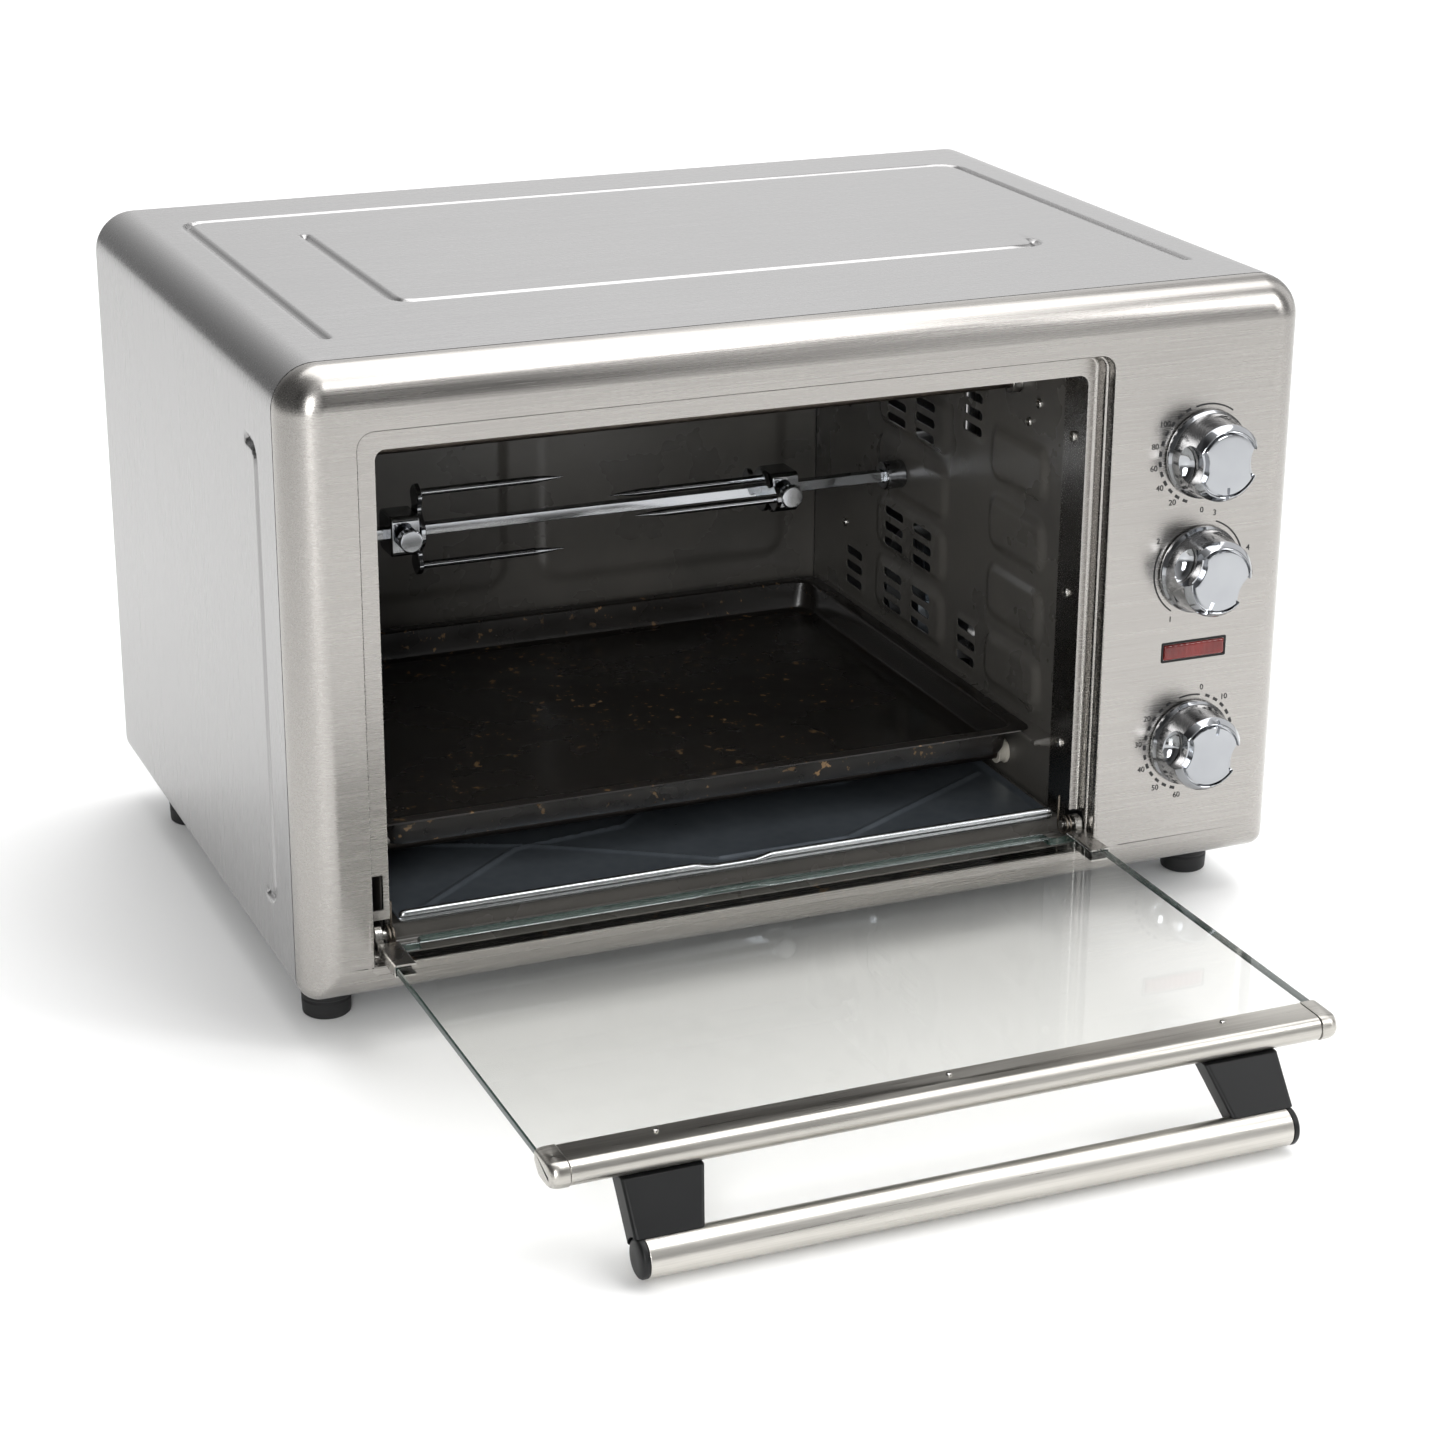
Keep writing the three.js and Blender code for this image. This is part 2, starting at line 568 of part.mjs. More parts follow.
// ---------------------------------------------------------------- convection fan
const fanBack = motorFace + 17;
steel('fan_housing', cut(cylinderX(motorFace, fanBack, fanY, fanZ, fanRadius + 4, 32),
  cylinderX(motorFace - 1, fanBack - sheet, fanY, fanZ, fanRadius + 2.8, 32),
  cylinderX(fanBack - 3, fanBack + 1, fanY, fanZ, 3.4, 16)));
const blades = [];
for (let i = 0; i < 8; i += 1) {
  const blade = new THREE.BoxGeometry(9, fanRadius - 4, 1).rotateY(0.6).translate(0, (fanRadius + 4) / 2, 0);
  blades.push(blade.rotateX((i / 8) * 2 * Math.PI).translate(motorFace + 8, fanY, fanZ));
}
steel('convection_fan', join(cylinderX(motorFace + 3, motorFace + 13, fanY, fanZ, 8, 24),
  ...blades, cylinderX(motorFace + 12, fanBack + 9, fanY, fanZ, 2.5, 16)));
steel('fan_motor', cut(join(cylinderX(fanBack + gap, fanBack + 26, fanY, fanZ, 20, 24),
  box(fanBack + gap, fanBack + 2, fanY - 28, fanY + 28, fanZ - 6, fanZ + 6)),
cylinderX(fanBack - 1, fanBack + 10, fanY, fanZ, 2.5 + runFit, 16)));

// ---------------------------------------------------------------- controls
const behindPanel = sheet + gap;
const shaftBore = (z) => cylinderY(controlX, behindPanel - 1, 17, z, shaftRadius + runFit, 16);
const controlBody = (half, depth, z) => box(controlX - half, controlX + half, behindPanel, depth, z - half, z + half);
add('thermostat_body', cut(controlBody(17, 30, temperatureZ), shaftBore(temperatureZ)), 0xcfc8b8, 0, 0.6);
add('function_switch_body', cut(controlBody(18, 34, functionZ), shaftBore(functionZ)), 0xcfc8b8, 0, 0.6);
steel('timer_body', cut(join(controlBody(22, 36, timerZ), cylinderY(controlX, 35, 46, timerZ, 15, 24)),
  shaftBore(timerZ)));

// Chromed knobs: dished skirt, waisted front grip with a pointer groove, shaft through the panel.
function knob(z, pointerDegrees) {
  const skirt = [[0, 0], [knobRadius, 0], [knobRadius, 2.5], [knobRadius - 3, 5], [knobRadius - 4.5, 12],
    [knobRadius - 6, 14], [0, 14]];
  const dish = new THREE.LatheGeometry(skirt.map(([a, b]) => new THREE.Vector2(a, b)), 32)
    .rotateX(Math.PI).translate(0, -0.8, 0);
  const grip = cylinderY(0, -knobDepth, -13, 0, knobRadius - 3.5, 32);
  const scallop = (side) => cylinderY(side * (knobRadius + 4), -knobDepth - 1, -15.5, 0, 14, 24);
  const pointer = box(-0.9, 0.9, -knobDepth - 1, -knobDepth + 1.2, knobRadius - 11, knobRadius);
  const head = cut(join(dish, grip), scallop(-1), scallop(1), pointer);
  const whole = join(head, cylinderY(0, -2, 15, 0, shaftRadius, 16));
  return whole.rotateY(pointerDegrees * Math.PI / 180).translate(controlX, 0, z);
}
chrome('temperature_knob', knob(temperatureZ, 180));
chrome('function_knob', knob(functionZ, 205));
chrome('timer_knob', knob(timerZ, 12));

const lensBox = (grow, front, back) => box(controlX - lampWidth / 2 - grow, controlX + lampWidth / 2 + grow,
  front, back, lampZ - lampHeight / 2 - grow, lampZ + lampHeight / 2 + grow);
add('power_lamp_lens', lensBox(-gap, -1.2, 5), 0xa01c14, 0, 0.25);
blackPlastic('power_lamp_holder', cut(lensBox(3, behindPanel, 10), lensBox(0, 0, 5 + gap)));

// ---------------------------------------------------------------- door
// Every door section is drawn lying open: distance runs from the hinge line towards -Y.
const away = (distance) => hingeY - distance;
const glassHigh = hingeZ - glassDrop;
const glassLow = glassHigh - glassThickness;
const glassEnd = away(doorLength - 8);
const glassOutline = [[doorLeft + 1, away(9)], [doorLeft + 1, glassEnd], [doorRight - 1, glassEnd],
  [doorRight - 1, away(9)], [doorRight - 21, away(9)], [doorRight - 21, away(2)],
  [doorLeft + 21, away(2)], [doorLeft + 21, away(9)]];
add('door_glass', pushZ(glassOutline, glassLow, glassHigh), 0xcfe0dc, 0, 0.05);

const railInner = away(doorLength - railWidth);
const railHigh = hingeZ - 0.6;
const railLow = railHigh - railThickness;
function railOutline(grow) {
  const noseY = doorEnd - grow;
  return [[railInner + grow, railHigh + grow], [noseY + 3, railHigh + grow], [noseY + 0.9, railHigh - 1],
    [noseY, railHigh - 3.2], [noseY, railLow + 4.5], [noseY + 1.2, railLow + 1.4], [noseY + 4, railLow - grow],
    [railInner - 5, railLow - grow], [railInner + grow, railLow + 4.3]];
}
const glassSlot = (x0, x1) => box(x0, x1, glassEnd - gap, railInner + 5, glassLow - gap, glassHigh + gap);
const clipLeft = doorLeft + clipLength;
const clipRight = doorRight - clipLength;
steel('door_rail', cut(pushX(railOutline(0), clipLeft + gap, clipRight - gap), glassSlot(clipLeft, clipRight)));
steel('rail_clip_left', cut(pushX(railOutline(gap), doorLeft, clipLeft), glassSlot(doorLeft + 1 - gap, clipLeft + 1)));
steel('rail_clip_right', cut(pushX(railOutline(gap), clipRight, doorRight),
  glassSlot(clipRight - 1, doorRight - 1 + gap)));

// Tapered handle posts with a saddle for the bar; the bar is a tube with plugged ends.
const barLeft = doorMiddle - barLength / 2;
const barRight = doorMiddle + barLength / 2;
const rectangle = (x0, x1, y0, y1, z) => [[x0, y1, z], [x1, y1, z], [x1, y0, z], [x0, y0, z]];
function post(outer, inward) {
  const width = (w) => [Math.min(outer, outer + w * inward), Math.max(outer, outer + w * inward)];
  const body = loft([
    rectangle(...width(postLowWidth), barY - 8, barY + 8, barHeight),
    rectangle(...width(postTopWidth), doorEnd + 1, railInner - 3, railLow - gap),
  ], ([x, y]) => [x, -y]);
  return cut(body, cylinderX(barLeft - 5, barRight + 5, barY, barHeight, barRadius + gap, 32));
}
blackPlastic('handle_post_left', post(barLeft, 1));
blackPlastic('handle_post_right', post(barRight, -1));
const capLength = 4;
steel('handle_bar', cut(cylinderX(barLeft + capLength, barRight - capLength, barY, barHeight, barRadius, 32),
  cylinderX(barLeft, barRight, barY, barHeight, barRadius - 1.5, 32)));
function barCap(end, inward) {
  const span = (a, b) => [end + Math.min(a * inward, b * inward), end + Math.max(a * inward, b * inward)];
  return join(cylinderX(...span(0, capLength - gap), barY, barHeight, barRadius, 32),
    cylinderX(...span(1, capLength + 8), barY, barHeight, barRadius - 1.5 - gap, 24));
}
blackPlastic('handle_cap_left', barCap(barLeft, 1));
blackPlastic('handle_cap_right', barCap(barRight, -1));

// Hinge brackets grip the glass corners; each turns on a fixed pin wrapped by a torsion spring.
const eyeLength = 4;
const bracketWidth = 15.5;
const pinRadius = 2.5;
function hingeBracket(edge, inward) {
  const span = (a, b) => [edge + Math.min(a * inward, b * inward), edge + Math.max(a * inward, b * inward)];
  const body = join(cylinderX(...span(0, eyeLength), hingeY, hingeZ, 5, 20),
    box(...span(0, eyeLength), away(9), away(2), glassLow - sheet, glassHigh + sheet),
    box(...span(0, bracketWidth), away(44), away(8), glassLow - sheet, glassHigh + sheet));
  return cut(body, cylinderX(...span(-1, eyeLength + 1), hingeY, hingeZ, pinRadius + gap, 16),
    box(...span(1 - gap, bracketWidth + 1), away(45), away(9 - gap), glassLow - gap, glassHigh + gap));
}
steel('hinge_bracket_left', hingeBracket(doorLeft, 1));
steel('hinge_bracket_right', hingeBracket(doorRight, -1));
function hingePin(wall, inward) {
  const span = (a, b) => [wall + Math.min(a * inward, b * inward), wall + Math.max(a * inward, b * inward)];
  return join(cylinderX(...span(-4.5, -1.5), hingeY, hingeZ, 4.5, 16),
    cylinderX(...span(-2, 14), hingeY, hingeZ, pinRadius, 16));
}
steel('hinge_pin_left', hingePin(recessLeft, 1));
steel('hinge_pin_right', hingePin(recessRight, -1));
// The straight leg stands at the inner end and the coil runs outwards to the bracket eye.
function torsionSpring(start, outward) {
  const turns = 2;
  const points = [new THREE.Vector3(start, hingeY + 4.4, hingeZ + 15)];
  for (let i = 0; i <= turns * 10; i += 1) {
    const angle = (i / 10) * 2 * Math.PI;
    points.push(new THREE.Vector3(start + outward * (i / 10) * 1.9,
      hingeY + 4.4 * Math.cos(angle), hingeZ - 4.4 * Math.sin(angle)));
  }
  const path = new THREE.CatmullRomCurve3(points);
  const wire = new THREE.Shape();
  wire.absarc(0, 0, 0.7, 0, 2 * Math.PI, false);
  return join(new THREE.ExtrudeGeometry(wire, { steps: 28, extrudePath: path, curveSegments: 3, bevelEnabled: false }));
}
steel('hinge_spring_left', torsionSpring(openLeft + 1, -1));
steel('hinge_spring_right', torsionSpring(doorRight - eyeLength - 5.3, 1));

// ---------------------------------------------------------------- pans
// Drip pan hangs by its rim on the pressed wall ledges.
const panLeft = wallLeft + slideGap + 0.5;
const panRight = wallRight - slideGap - 0.5;
const panRear = panFront + panLength;
const tubInset = panFlange + 1.2;
const panBlank = join(
  pushZ(rounded(panLeft, panRight, panFront, panRear, 8), panTop - sheet, panTop),
  pushZ(rounded(panLeft + tubInset, panRight - tubInset, panFront + tubInset, panRear - tubInset, 10),
    panTop - panDepth, panTop));
enamel('drip_pan', cut(panBlank, pushZ(rounded(panLeft + tubInset + sheet, panRight - tubInset - sheet,
  panFront + tubInset + sheet, panRear - tubInset - sheet, 9), panTop - panDepth + sheet, panTop + 1)));

// Crumb tray: flat sheet, low side hems, rolled front lip with a finger notch.
const trayLow = cavityFloorHeight + sheet + gap;
const trayLeft = openLeft + trayGap;
const trayRight = openRight - trayGap;
const trayRear = trayFront + trayLength;
const lipTop = trayLow + trayLip;
const notch = box(doorMiddle - 17, doorMiddle + 17, trayFront - 5, trayFront + 0.5, lipTop - 2.3, lipTop + 5);
add('crumb_tray', cut(join(
  box(trayLeft, trayRight, trayFront, trayRear, trayLow, trayLow + sheet),
  box(trayLeft, trayRight, trayFront - sheet, trayFront, trayLow, lipTop),
  cylinderX(trayLeft, trayRight, trayFront - 0.7, lipTop, 1.7, 12),
  box(trayLeft, trayLeft + sheet, trayFront, trayRear, trayLow, trayLow + 3.5),
  box(trayRight - sheet, trayRight, trayFront, trayRear, trayLow, trayLow + 3.5),
  box(trayLeft, trayRight, trayRear - sheet, trayRear, trayLow, trayLow + 3.5)), notch), 0x8d949b, 0.9, 0.3);

export default group;
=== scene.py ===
import math

import bmesh
import bpy
import numpy as np
from mathutils import Matrix, Vector
from mathutils.geometry import tessellate_polygon


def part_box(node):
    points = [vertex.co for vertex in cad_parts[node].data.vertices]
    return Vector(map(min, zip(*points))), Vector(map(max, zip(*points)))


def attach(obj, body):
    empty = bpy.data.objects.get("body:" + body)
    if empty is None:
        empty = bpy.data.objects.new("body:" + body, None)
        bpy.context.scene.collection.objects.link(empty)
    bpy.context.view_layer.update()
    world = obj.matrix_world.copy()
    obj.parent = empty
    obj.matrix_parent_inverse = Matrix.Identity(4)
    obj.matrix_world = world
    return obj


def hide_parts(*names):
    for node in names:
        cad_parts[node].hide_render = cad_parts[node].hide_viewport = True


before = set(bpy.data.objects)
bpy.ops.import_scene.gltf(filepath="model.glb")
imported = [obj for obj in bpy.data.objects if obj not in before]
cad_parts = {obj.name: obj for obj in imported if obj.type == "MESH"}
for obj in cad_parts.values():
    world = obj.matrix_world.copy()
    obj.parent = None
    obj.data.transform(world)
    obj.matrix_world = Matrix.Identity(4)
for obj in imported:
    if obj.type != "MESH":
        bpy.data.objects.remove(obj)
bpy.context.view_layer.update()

# ------------------------------------------------------------------ camera
# Eye-level product view from the left front, slightly above, on a long lens.
# Sizes below are millimetres with y = 0 on the front panel, as the oven is drawn up.
FRONT_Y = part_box("front_bezel")[0].y * 1000


def place(x, y, z):
    """Millimetres from the front panel plane to metres in the part's own frame."""
    return Vector((x / 1000, (y + FRONT_Y) / 1000, z / 1000))


CAMERA_AT = (-627.6, -1358.9, 699.5)
CAMERA_TURN = 0.3999
CAMERA_TILT = -0.3609
CAMERA_ROLL = 0.006
camera_data = bpy.data.cameras.new("camera")
camera_data.lens = 81.24
camera_data.sensor_width = 36
camera_data.clip_end = 20
camera = bpy.data.objects.new("camera", camera_data)
bpy.context.scene.collection.objects.link(camera)
forward = Vector((math.sin(CAMERA_TURN) * math.cos(CAMERA_TILT),
                  math.cos(CAMERA_TURN) * math.cos(CAMERA_TILT), math.sin(CAMERA_TILT)))
level = Vector((math.cos(CAMERA_TURN), -math.sin(CAMERA_TURN), 0))
upward = level.cross(forward)
right = level * math.cos(CAMERA_ROLL) + upward * math.sin(CAMERA_ROLL)
up = right.cross(forward)
basis = Matrix((right, up, -forward)).transposed().to_4x4()
camera.matrix_world = Matrix.Translation(place(*CAMERA_AT)) @ basis
bpy.context.scene.camera = camera


# ------------------------------------------------------------------ studio
# A pale paper sweep under an overhead panel, a narrow front strip, two floor panels that metal
# does not mirror, and one panel at each side. The room round them is darker to the left.
def linear(colour):
    """sRGB hex text to a linear RGBA colour."""
    parts = [int(colour[i:i + 2], 16) / 255 for i in (1, 3, 5)]
    parts = [c / 12.92 if c <= 0.04045 else ((c + 0.055) / 1.055) ** 2.4 for c in parts]
    return (*parts, 1)


def feed(tree, node, inputs):
    """Gives a node its options, its socket values and the outputs that plug into it."""
    for key, value in inputs.items():
        if isinstance(key, str) and hasattr(node, key):
            setattr(node, key, value)
        elif isinstance(value, bpy.types.NodeSocket):
            tree.links.new(value, node.inputs[key])
        else:
            node.inputs[key].default_value = value
    return node


def add_node(tree, kind, inputs=None):
    """One new node, fed with its inputs."""
    return feed(tree, tree.nodes.new(kind), inputs or {})


def noise(tree, where, scale, detail, rough=0.5):
    """Soft random patches from 0 to 1; scale is patches per metre."""
    return add_node(tree, "ShaderNodeTexNoise", {
        "Scale": scale, "Detail": detail, "Roughness": rough, "Vector": where}).outputs["Fac"]


def spread(tree, value, low, high, start=0.0, end=1.0, curve="LINEAR"):
    """Lays a value that runs from start to end out again from low to high."""
    return add_node(tree, "ShaderNodeMapRange", {
        "interpolation_type": curve, 0: value, 1: start, 2: end, 3: low, 4: high}).outputs[0]


def maths(tree, operation, first, second=0.0):
    """One operation on two values."""
    return add_node(tree, "ShaderNodeMath", {
        "operation": operation, 0: first, 1: second}).outputs[0]


def two_tone(tree, dark, light, share):
    """A colour between two sRGB hex colours, by a share from 0 to 1."""
    return add_node(tree, "ShaderNodeMix", {
        "data_type": "RGBA", 0: share, 6: linear(dark), 7: linear(light)}).outputs[2]


def bump(tree, height, strength, distance):
    """Fine relief in the surface; the distance is in metres."""
    return add_node(tree, "ShaderNodeBump", {
        "Strength": strength, "Distance": distance, "Height": height}).outputs[0]


def new_material(name):
    """An empty material, its tree, its Principled shader and its object-space position."""
    material = bpy.data.materials.new(name)
    material.use_nodes = True
    tree = material.node_tree
    tree.nodes.clear()
    shader = add_node(tree, "ShaderNodeBsdfPrincipled")
    add_node(tree, "ShaderNodeOutputMaterial", {"Surface": shader.outputs[0]})
    where = add_node(tree, "ShaderNodeTexCoord").outputs["Object"]
    return material, tree, shader, where


world = bpy.data.worlds.new("studio")
bpy.context.scene.world = world
world.use_nodes = True
sky = world.node_tree
sky.nodes.clear()
towards = add_node(sky, "ShaderNodeSeparateXYZ", {
    0: add_node(sky, "ShaderNodeTexCoord").outputs["Generated"]}).outputs
# The room is darker to the left and crossed by tall dark flags, which the brushed and chromed
# faces smear or mirror. Bearings and widths are radians from the rear; the last is how dark.
level_light = spread(sky, towards[0], 0.12, 1.15, -0.6, 0.4, "SMOOTHSTEP")
bearing = maths(sky, "ARCTAN2", towards[0], towards[1])
FLAG_BLUR = 0.06
for middle, half, depth in ((2.93, 0.16, 0.97), (2.50, 0.07, 0.95), (1.9, 0.2, 0.7),
                            (-2.2, 0.22, 0.6), (0.9, 0.2, 0.5)):
    gap = maths(sky, "ABSOLUTE", maths(sky, "SUBTRACT", bearing, middle))
    aside = spread(sky, gap, depth, 0.0, half, half + FLAG_BLUR, "SMOOTHSTEP")
    low = spread(sky, towards[2], 1.0, 0.0, 0.75, 0.95, "SMOOTHSTEP")
    open_share = maths(sky, "SUBTRACT", 1.0, maths(sky, "MULTIPLY", aside, low))
    level_light = maths(sky, "MULTIPLY", level_light, open_share)
surround = add_node(sky, "ShaderNodeBackground", {
    "Color": linear("#ffffff"), "Strength": level_light})
backdrop = add_node(sky, "ShaderNodeBackground", {"Color": linear("#f7f7f7"), "Strength": 1.0})
seen = add_node(sky, "ShaderNodeLightPath").outputs["Is Camera Ray"]
shown = add_node(sky, "ShaderNodeMixShader", {
    0: seen, 1: surround.outputs[0], 2: backdrop.outputs[0]})
add_node(sky, "ShaderNodeOutputWorld", {"Surface": shown.outputs[0]})
bpy.context.scene.view_settings.view_transform = "Standard"

# Seamless paper: matt and almost even, so that only the oven's soft shadow marks it.
paper, tree, shader, where = new_material("pale_paper")
grain = noise(tree, where, 3.0, 3.0)
feed(tree, shader, {"Base Color": two_tone(tree, "#fafaf9", "#ffffff", grain), "Roughness": 0.9})
FLOOR_HALF = 6
floor_mesh = bpy.data.meshes.new("floor")
floor_mesh.from_pydata([(FLOOR_HALF * x, FLOOR_HALF * y, 0)
                        for x, y in ((-1, -1), (1, -1), (1, 1), (-1, 1))], [], [(0, 1, 2, 3)])
floor = bpy.data.objects.new("floor", floor_mesh)
floor.data.materials.append(paper)
bpy.context.scene.collection.objects.link(floor)


def soft_panel(name, at, aim, width, height, power, mirrored=True):
    """A rectangular lamp at a point, turned towards another; metal may or may not mirror it."""
    lamp = bpy.data.lights.new(name, "AREA")
    lamp.shape = "RECTANGLE"
    lamp.size = width
    lamp.size_y = height
    lamp.energy = power
    panel = bpy.data.objects.new(name, lamp)
    panel.location = at
    panel.rotation_euler = (Vector(aim) - Vector(at)).to_track_quat("-Z", "Y").to_euler()
    panel.visible_glossy = mirrored
    bpy.context.scene.collection.objects.link(panel)


soft_panel("overhead_panel", (0.3, 0.35, 1.7), (0.1, 0.2, 0), 1.7, 1.3, 17)
soft_panel("front_strip", (0.38, -0.75, 1.6), (0.1, 0, 0.3), 0.66, 0.3, 4.6)
soft_panel("rear_floor_panel", (0.5, 3.6, 2.6), (0.5, 3.2, 0), 7.0, 4.5, 120, mirrored=False)
soft_panel("front_floor_panel", (0.0, -3.2, 2.6), (0, -3.0, 0), 6.0, 3.0, 22, mirrored=False)
soft_panel("left_panel", (-0.95, -1.6, 0.75), (0.12, 0.15, 0.16), 0.45, 0.9, 15)
soft_panel("right_panel", (1.5, -1.3, 1.3), (0.1, -0.1, 0.15), 0.6, 1.0, 12)

# ------------------------------------------------------------------ outer wrap
# One sheet of 430 stainless, brushed front to back, bent over the top and down both sides.
# The pressed lines stiffen the flat panels; the edges are turned in under the base.
BODY_HALF = 265
BODY_TOP = 335
BODY_LOW = 24.5
BODY_REAR = 371
BEZEL_DEPTH = 19
TOP_RADIUS = 21
LOW_RADIUS = 10


def make_mesh(name, points, faces):
    """A mesh object from millimetre points in front-panel coordinates."""
    mesh = bpy.data.meshes.new(name)
    mesh.from_pydata([place(*p) for p in points], [], faces)
    piece = bpy.data.objects.new(name, mesh)
    bpy.context.scene.collection.objects.link(piece)
    return piece


def modify(piece, kind, **settings):
    """Adds one modifier and applies it to the mesh."""
    modifier = piece.modifiers.new(kind, kind)
    for key, value in settings.items():
        setattr(modifier, key, value)
    evaluated = piece.evaluated_get(bpy.context.evaluated_depsgraph_get())
    shaped = bpy.data.meshes.new_from_object(evaluated)
    old = piece.data
    piece.modifiers.clear()
    piece.data = shaped
    bpy.data.meshes.remove(old)
    return piece


def outward(piece):
    """Turns every face of a closed mesh outwards."""
    work = bmesh.new()
    work.from_mesh(piece.data)
    bmesh.ops.remove_doubles(work, verts=work.verts, dist=1e-6)
    bmesh.ops.recalc_face_normals(work, faces=work.faces)
    work.to_mesh(piece.data)
    work.free()
    return piece


def face_front(piece, test):
    """Makes the normals agree, then turns them all if the test says that they look backwards."""
    work = bmesh.new()
    work.from_mesh(piece.data)
    bmesh.ops.recalc_face_normals(work, faces=work.faces)
    work.faces.ensure_lookup_table()
    if not test(work.faces):
        bmesh.ops.reverse_faces(work, faces=work.faces)
    work.to_mesh(piece.data)
    work.free()
    return piece


def settle(piece, body, material, nodes=(), sharp=35):
    """Shades a piece, gives it its finish, and fixes it to its body in place of CAD nodes."""
    if material is not None:
        piece.data.materials.clear()
        piece.data.materials.append(material)
    piece.data.polygons.foreach_set("use_smooth", [True] * len(piece.data.polygons))
    piece.data.set_sharp_from_angle(angle=math.radians(sharp))
    modify(piece, "WEIGHTED_NORMAL", keep_sharp=True, weight=80)
    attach(piece, body)
    if nodes:
        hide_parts(*nodes)
    return piece


def skin(name, rings, closed=True, caps=False):
    """Faces between successive rings of points; each ring may close on itself."""
    count = len(rings[0])
    points = [p for ring in rings for p in ring]
    faces = []
    for r in range(len(rings) - 1):
        for i in range(count if closed else count - 1):
            a = r * count + i
            b = r * count + (i + 1) % count
            faces.append((a, b, b + count, a + count))
    if caps:
        faces.append(tuple(range(count)))
        faces.append(tuple((len(rings) - 1) * count + i for i in reversed(range(count))))
    return make_mesh(name, points, faces)


def sheet(name, rings, towards, thick, closed=False):
    """Sheet metal through rings of points, facing a direction, its gauge laid behind the face."""
    way = Vector(towards)
    piece = face_front(skin(name, rings, closed=closed), lambda faces: sum(
        f.normal.dot(way) * f.calc_area() for f in faces) > 0)
    return modify(piece, "SOLIDIFY", thickness=thick / 1000, offset=-1)


def corner_loop(a0, a1, b0, b1, low, high=None, steps=8):
    """A rectangle with rounded corners as (a, b) points, anticlockwise from the low left."""
    high = low if high is None else high
    loop = []
    for ca, cb, radius, start in ((a0 + low, b0 + low, low, 2), (a1 - low, b0 + low, low, 3),
                                  (a1 - high, b1 - high, high, 0), (a0 + high, b1 - high, high, 1)):
        for i in range(steps + 1):
            angle = (start + i / steps) * math.pi / 2
            loop.append((ca + radius * math.cos(angle), cb + radius * math.sin(angle)))
    return loop


def fine_lines(start, end, coarse, fine_spans, fine):
    """Grid positions: coarse steps with fine steps inside the listed spans."""
    values = set(np.round(np.linspace(start, end, max(2, int((end - start) / coarse) + 1)), 3))
    for low, high in fine_spans:
        low, high = max(low, start), min(high, end)
        values = {v for v in values if v <= low or v >= high}
        values |= set(np.round(np.arange(low, high + 0.01, fine), 3))
    return sorted(values | {start, end})


def path_distance(points, path):
    """Shortest distance from each (a, b) point to a polyline."""
    points = np.asarray(points, float)
    best = np.full(len(points), 1e9)
    for (a0, b0), (a1, b1) in zip(path[:-1], path[1:]):
        start = np.array((a0, b0))
        step = np.array((a1 - a0, b1 - b0))
        share = np.clip(((points - start) @ step) / max(step @ step, 1e-9), 0, 1)
        gap = points - start - share[:, None] * step
        best = np.minimum(best, np.hypot(gap[:, 0], gap[:, 1]))
    return best


def bend(path, radius, steps=6):
    """Rounds the inner corners of a polyline."""
    rounded = [path[0]]
    for before, here, after in zip(path[:-2], path[1:-1], path[2:]):
        inward = (Vector(before) - Vector(here)).normalized()
        onward = (Vector(after) - Vector(here)).normalized()
        for i in range(steps + 1):
            t = i / steps
            spot = Vector(here) + inward * radius * (1 - t) ** 2 + onward * radius * t ** 2
            rounded.append(tuple(spot))
    return rounded + [path[-1]]


def shrunk(box, inset):
    """A rectangle moved in on all four sides."""
    return box[0] + inset, box[1] - inset, box[2] + inset, box[3] - inset


GROOVE_DEPTH = 2.0
GROOVE_HALF = 1.9
top_grooves = [
    bend([(-227, 60), (-227, 328), (227, 328), (227, 60)], 14),
    bend([(-175, 276), (-175, 116), (175, 116), (175, 124)], 12),
]
side_groove = bend([(66, 290), (50, 290), (50, 62), (66, 62)], 10)


def groove_depth(points, groove):
    """How deep a pressed line lies at (a, b) points."""
    return GROOVE_DEPTH * np.exp(-(path_distance(points, groove) / GROOVE_HALF) ** 4)


TURNED_IN = 15
GRID_COARSE = 14
GRID_FINE = 1.3
profile = [(BODY_HALF - TURNED_IN, BODY_LOW + 0.2)]
profile += [(BODY_HALF - LOW_RADIUS + LOW_RADIUS * math.sin(i / 6 * math.pi / 2),
             BODY_LOW + LOW_RADIUS - LOW_RADIUS * math.cos(i / 6 * math.pi / 2)) for i in range(6)]
profile += [(BODY_HALF, z) for z in fine_lines(
    BODY_LOW + LOW_RADIUS, BODY_TOP - TOP_RADIUS, GRID_COARSE, [(54, 78), (276, 298)], 1.6)]
for i in range(1, 12):
    angle = i / 12 * math.pi / 2
    profile.append((BODY_HALF - TOP_RADIUS + TOP_RADIUS * math.cos(angle),
                    BODY_TOP - TOP_RADIUS + TOP_RADIUS * math.sin(angle)))
top_lines = fine_lines(-BODY_HALF + TOP_RADIUS, BODY_HALF - TOP_RADIUS, GRID_COARSE,
                       [(205, 233), (169, 181), (-181, -155), (-233, -205)], GRID_FINE)
profile += [(x, BODY_TOP) for x in reversed(top_lines)]
profile += [(-x, z) for x, z in reversed(profile[:len(profile) - len(top_lines)])]
depths = np.array(fine_lines(BEZEL_DEPTH + 1.0, BODY_REAR, GRID_COARSE,
                             [(44, 70), (108, 130), (270, 282), (308, 334)], GRID_FINE))
rings = []
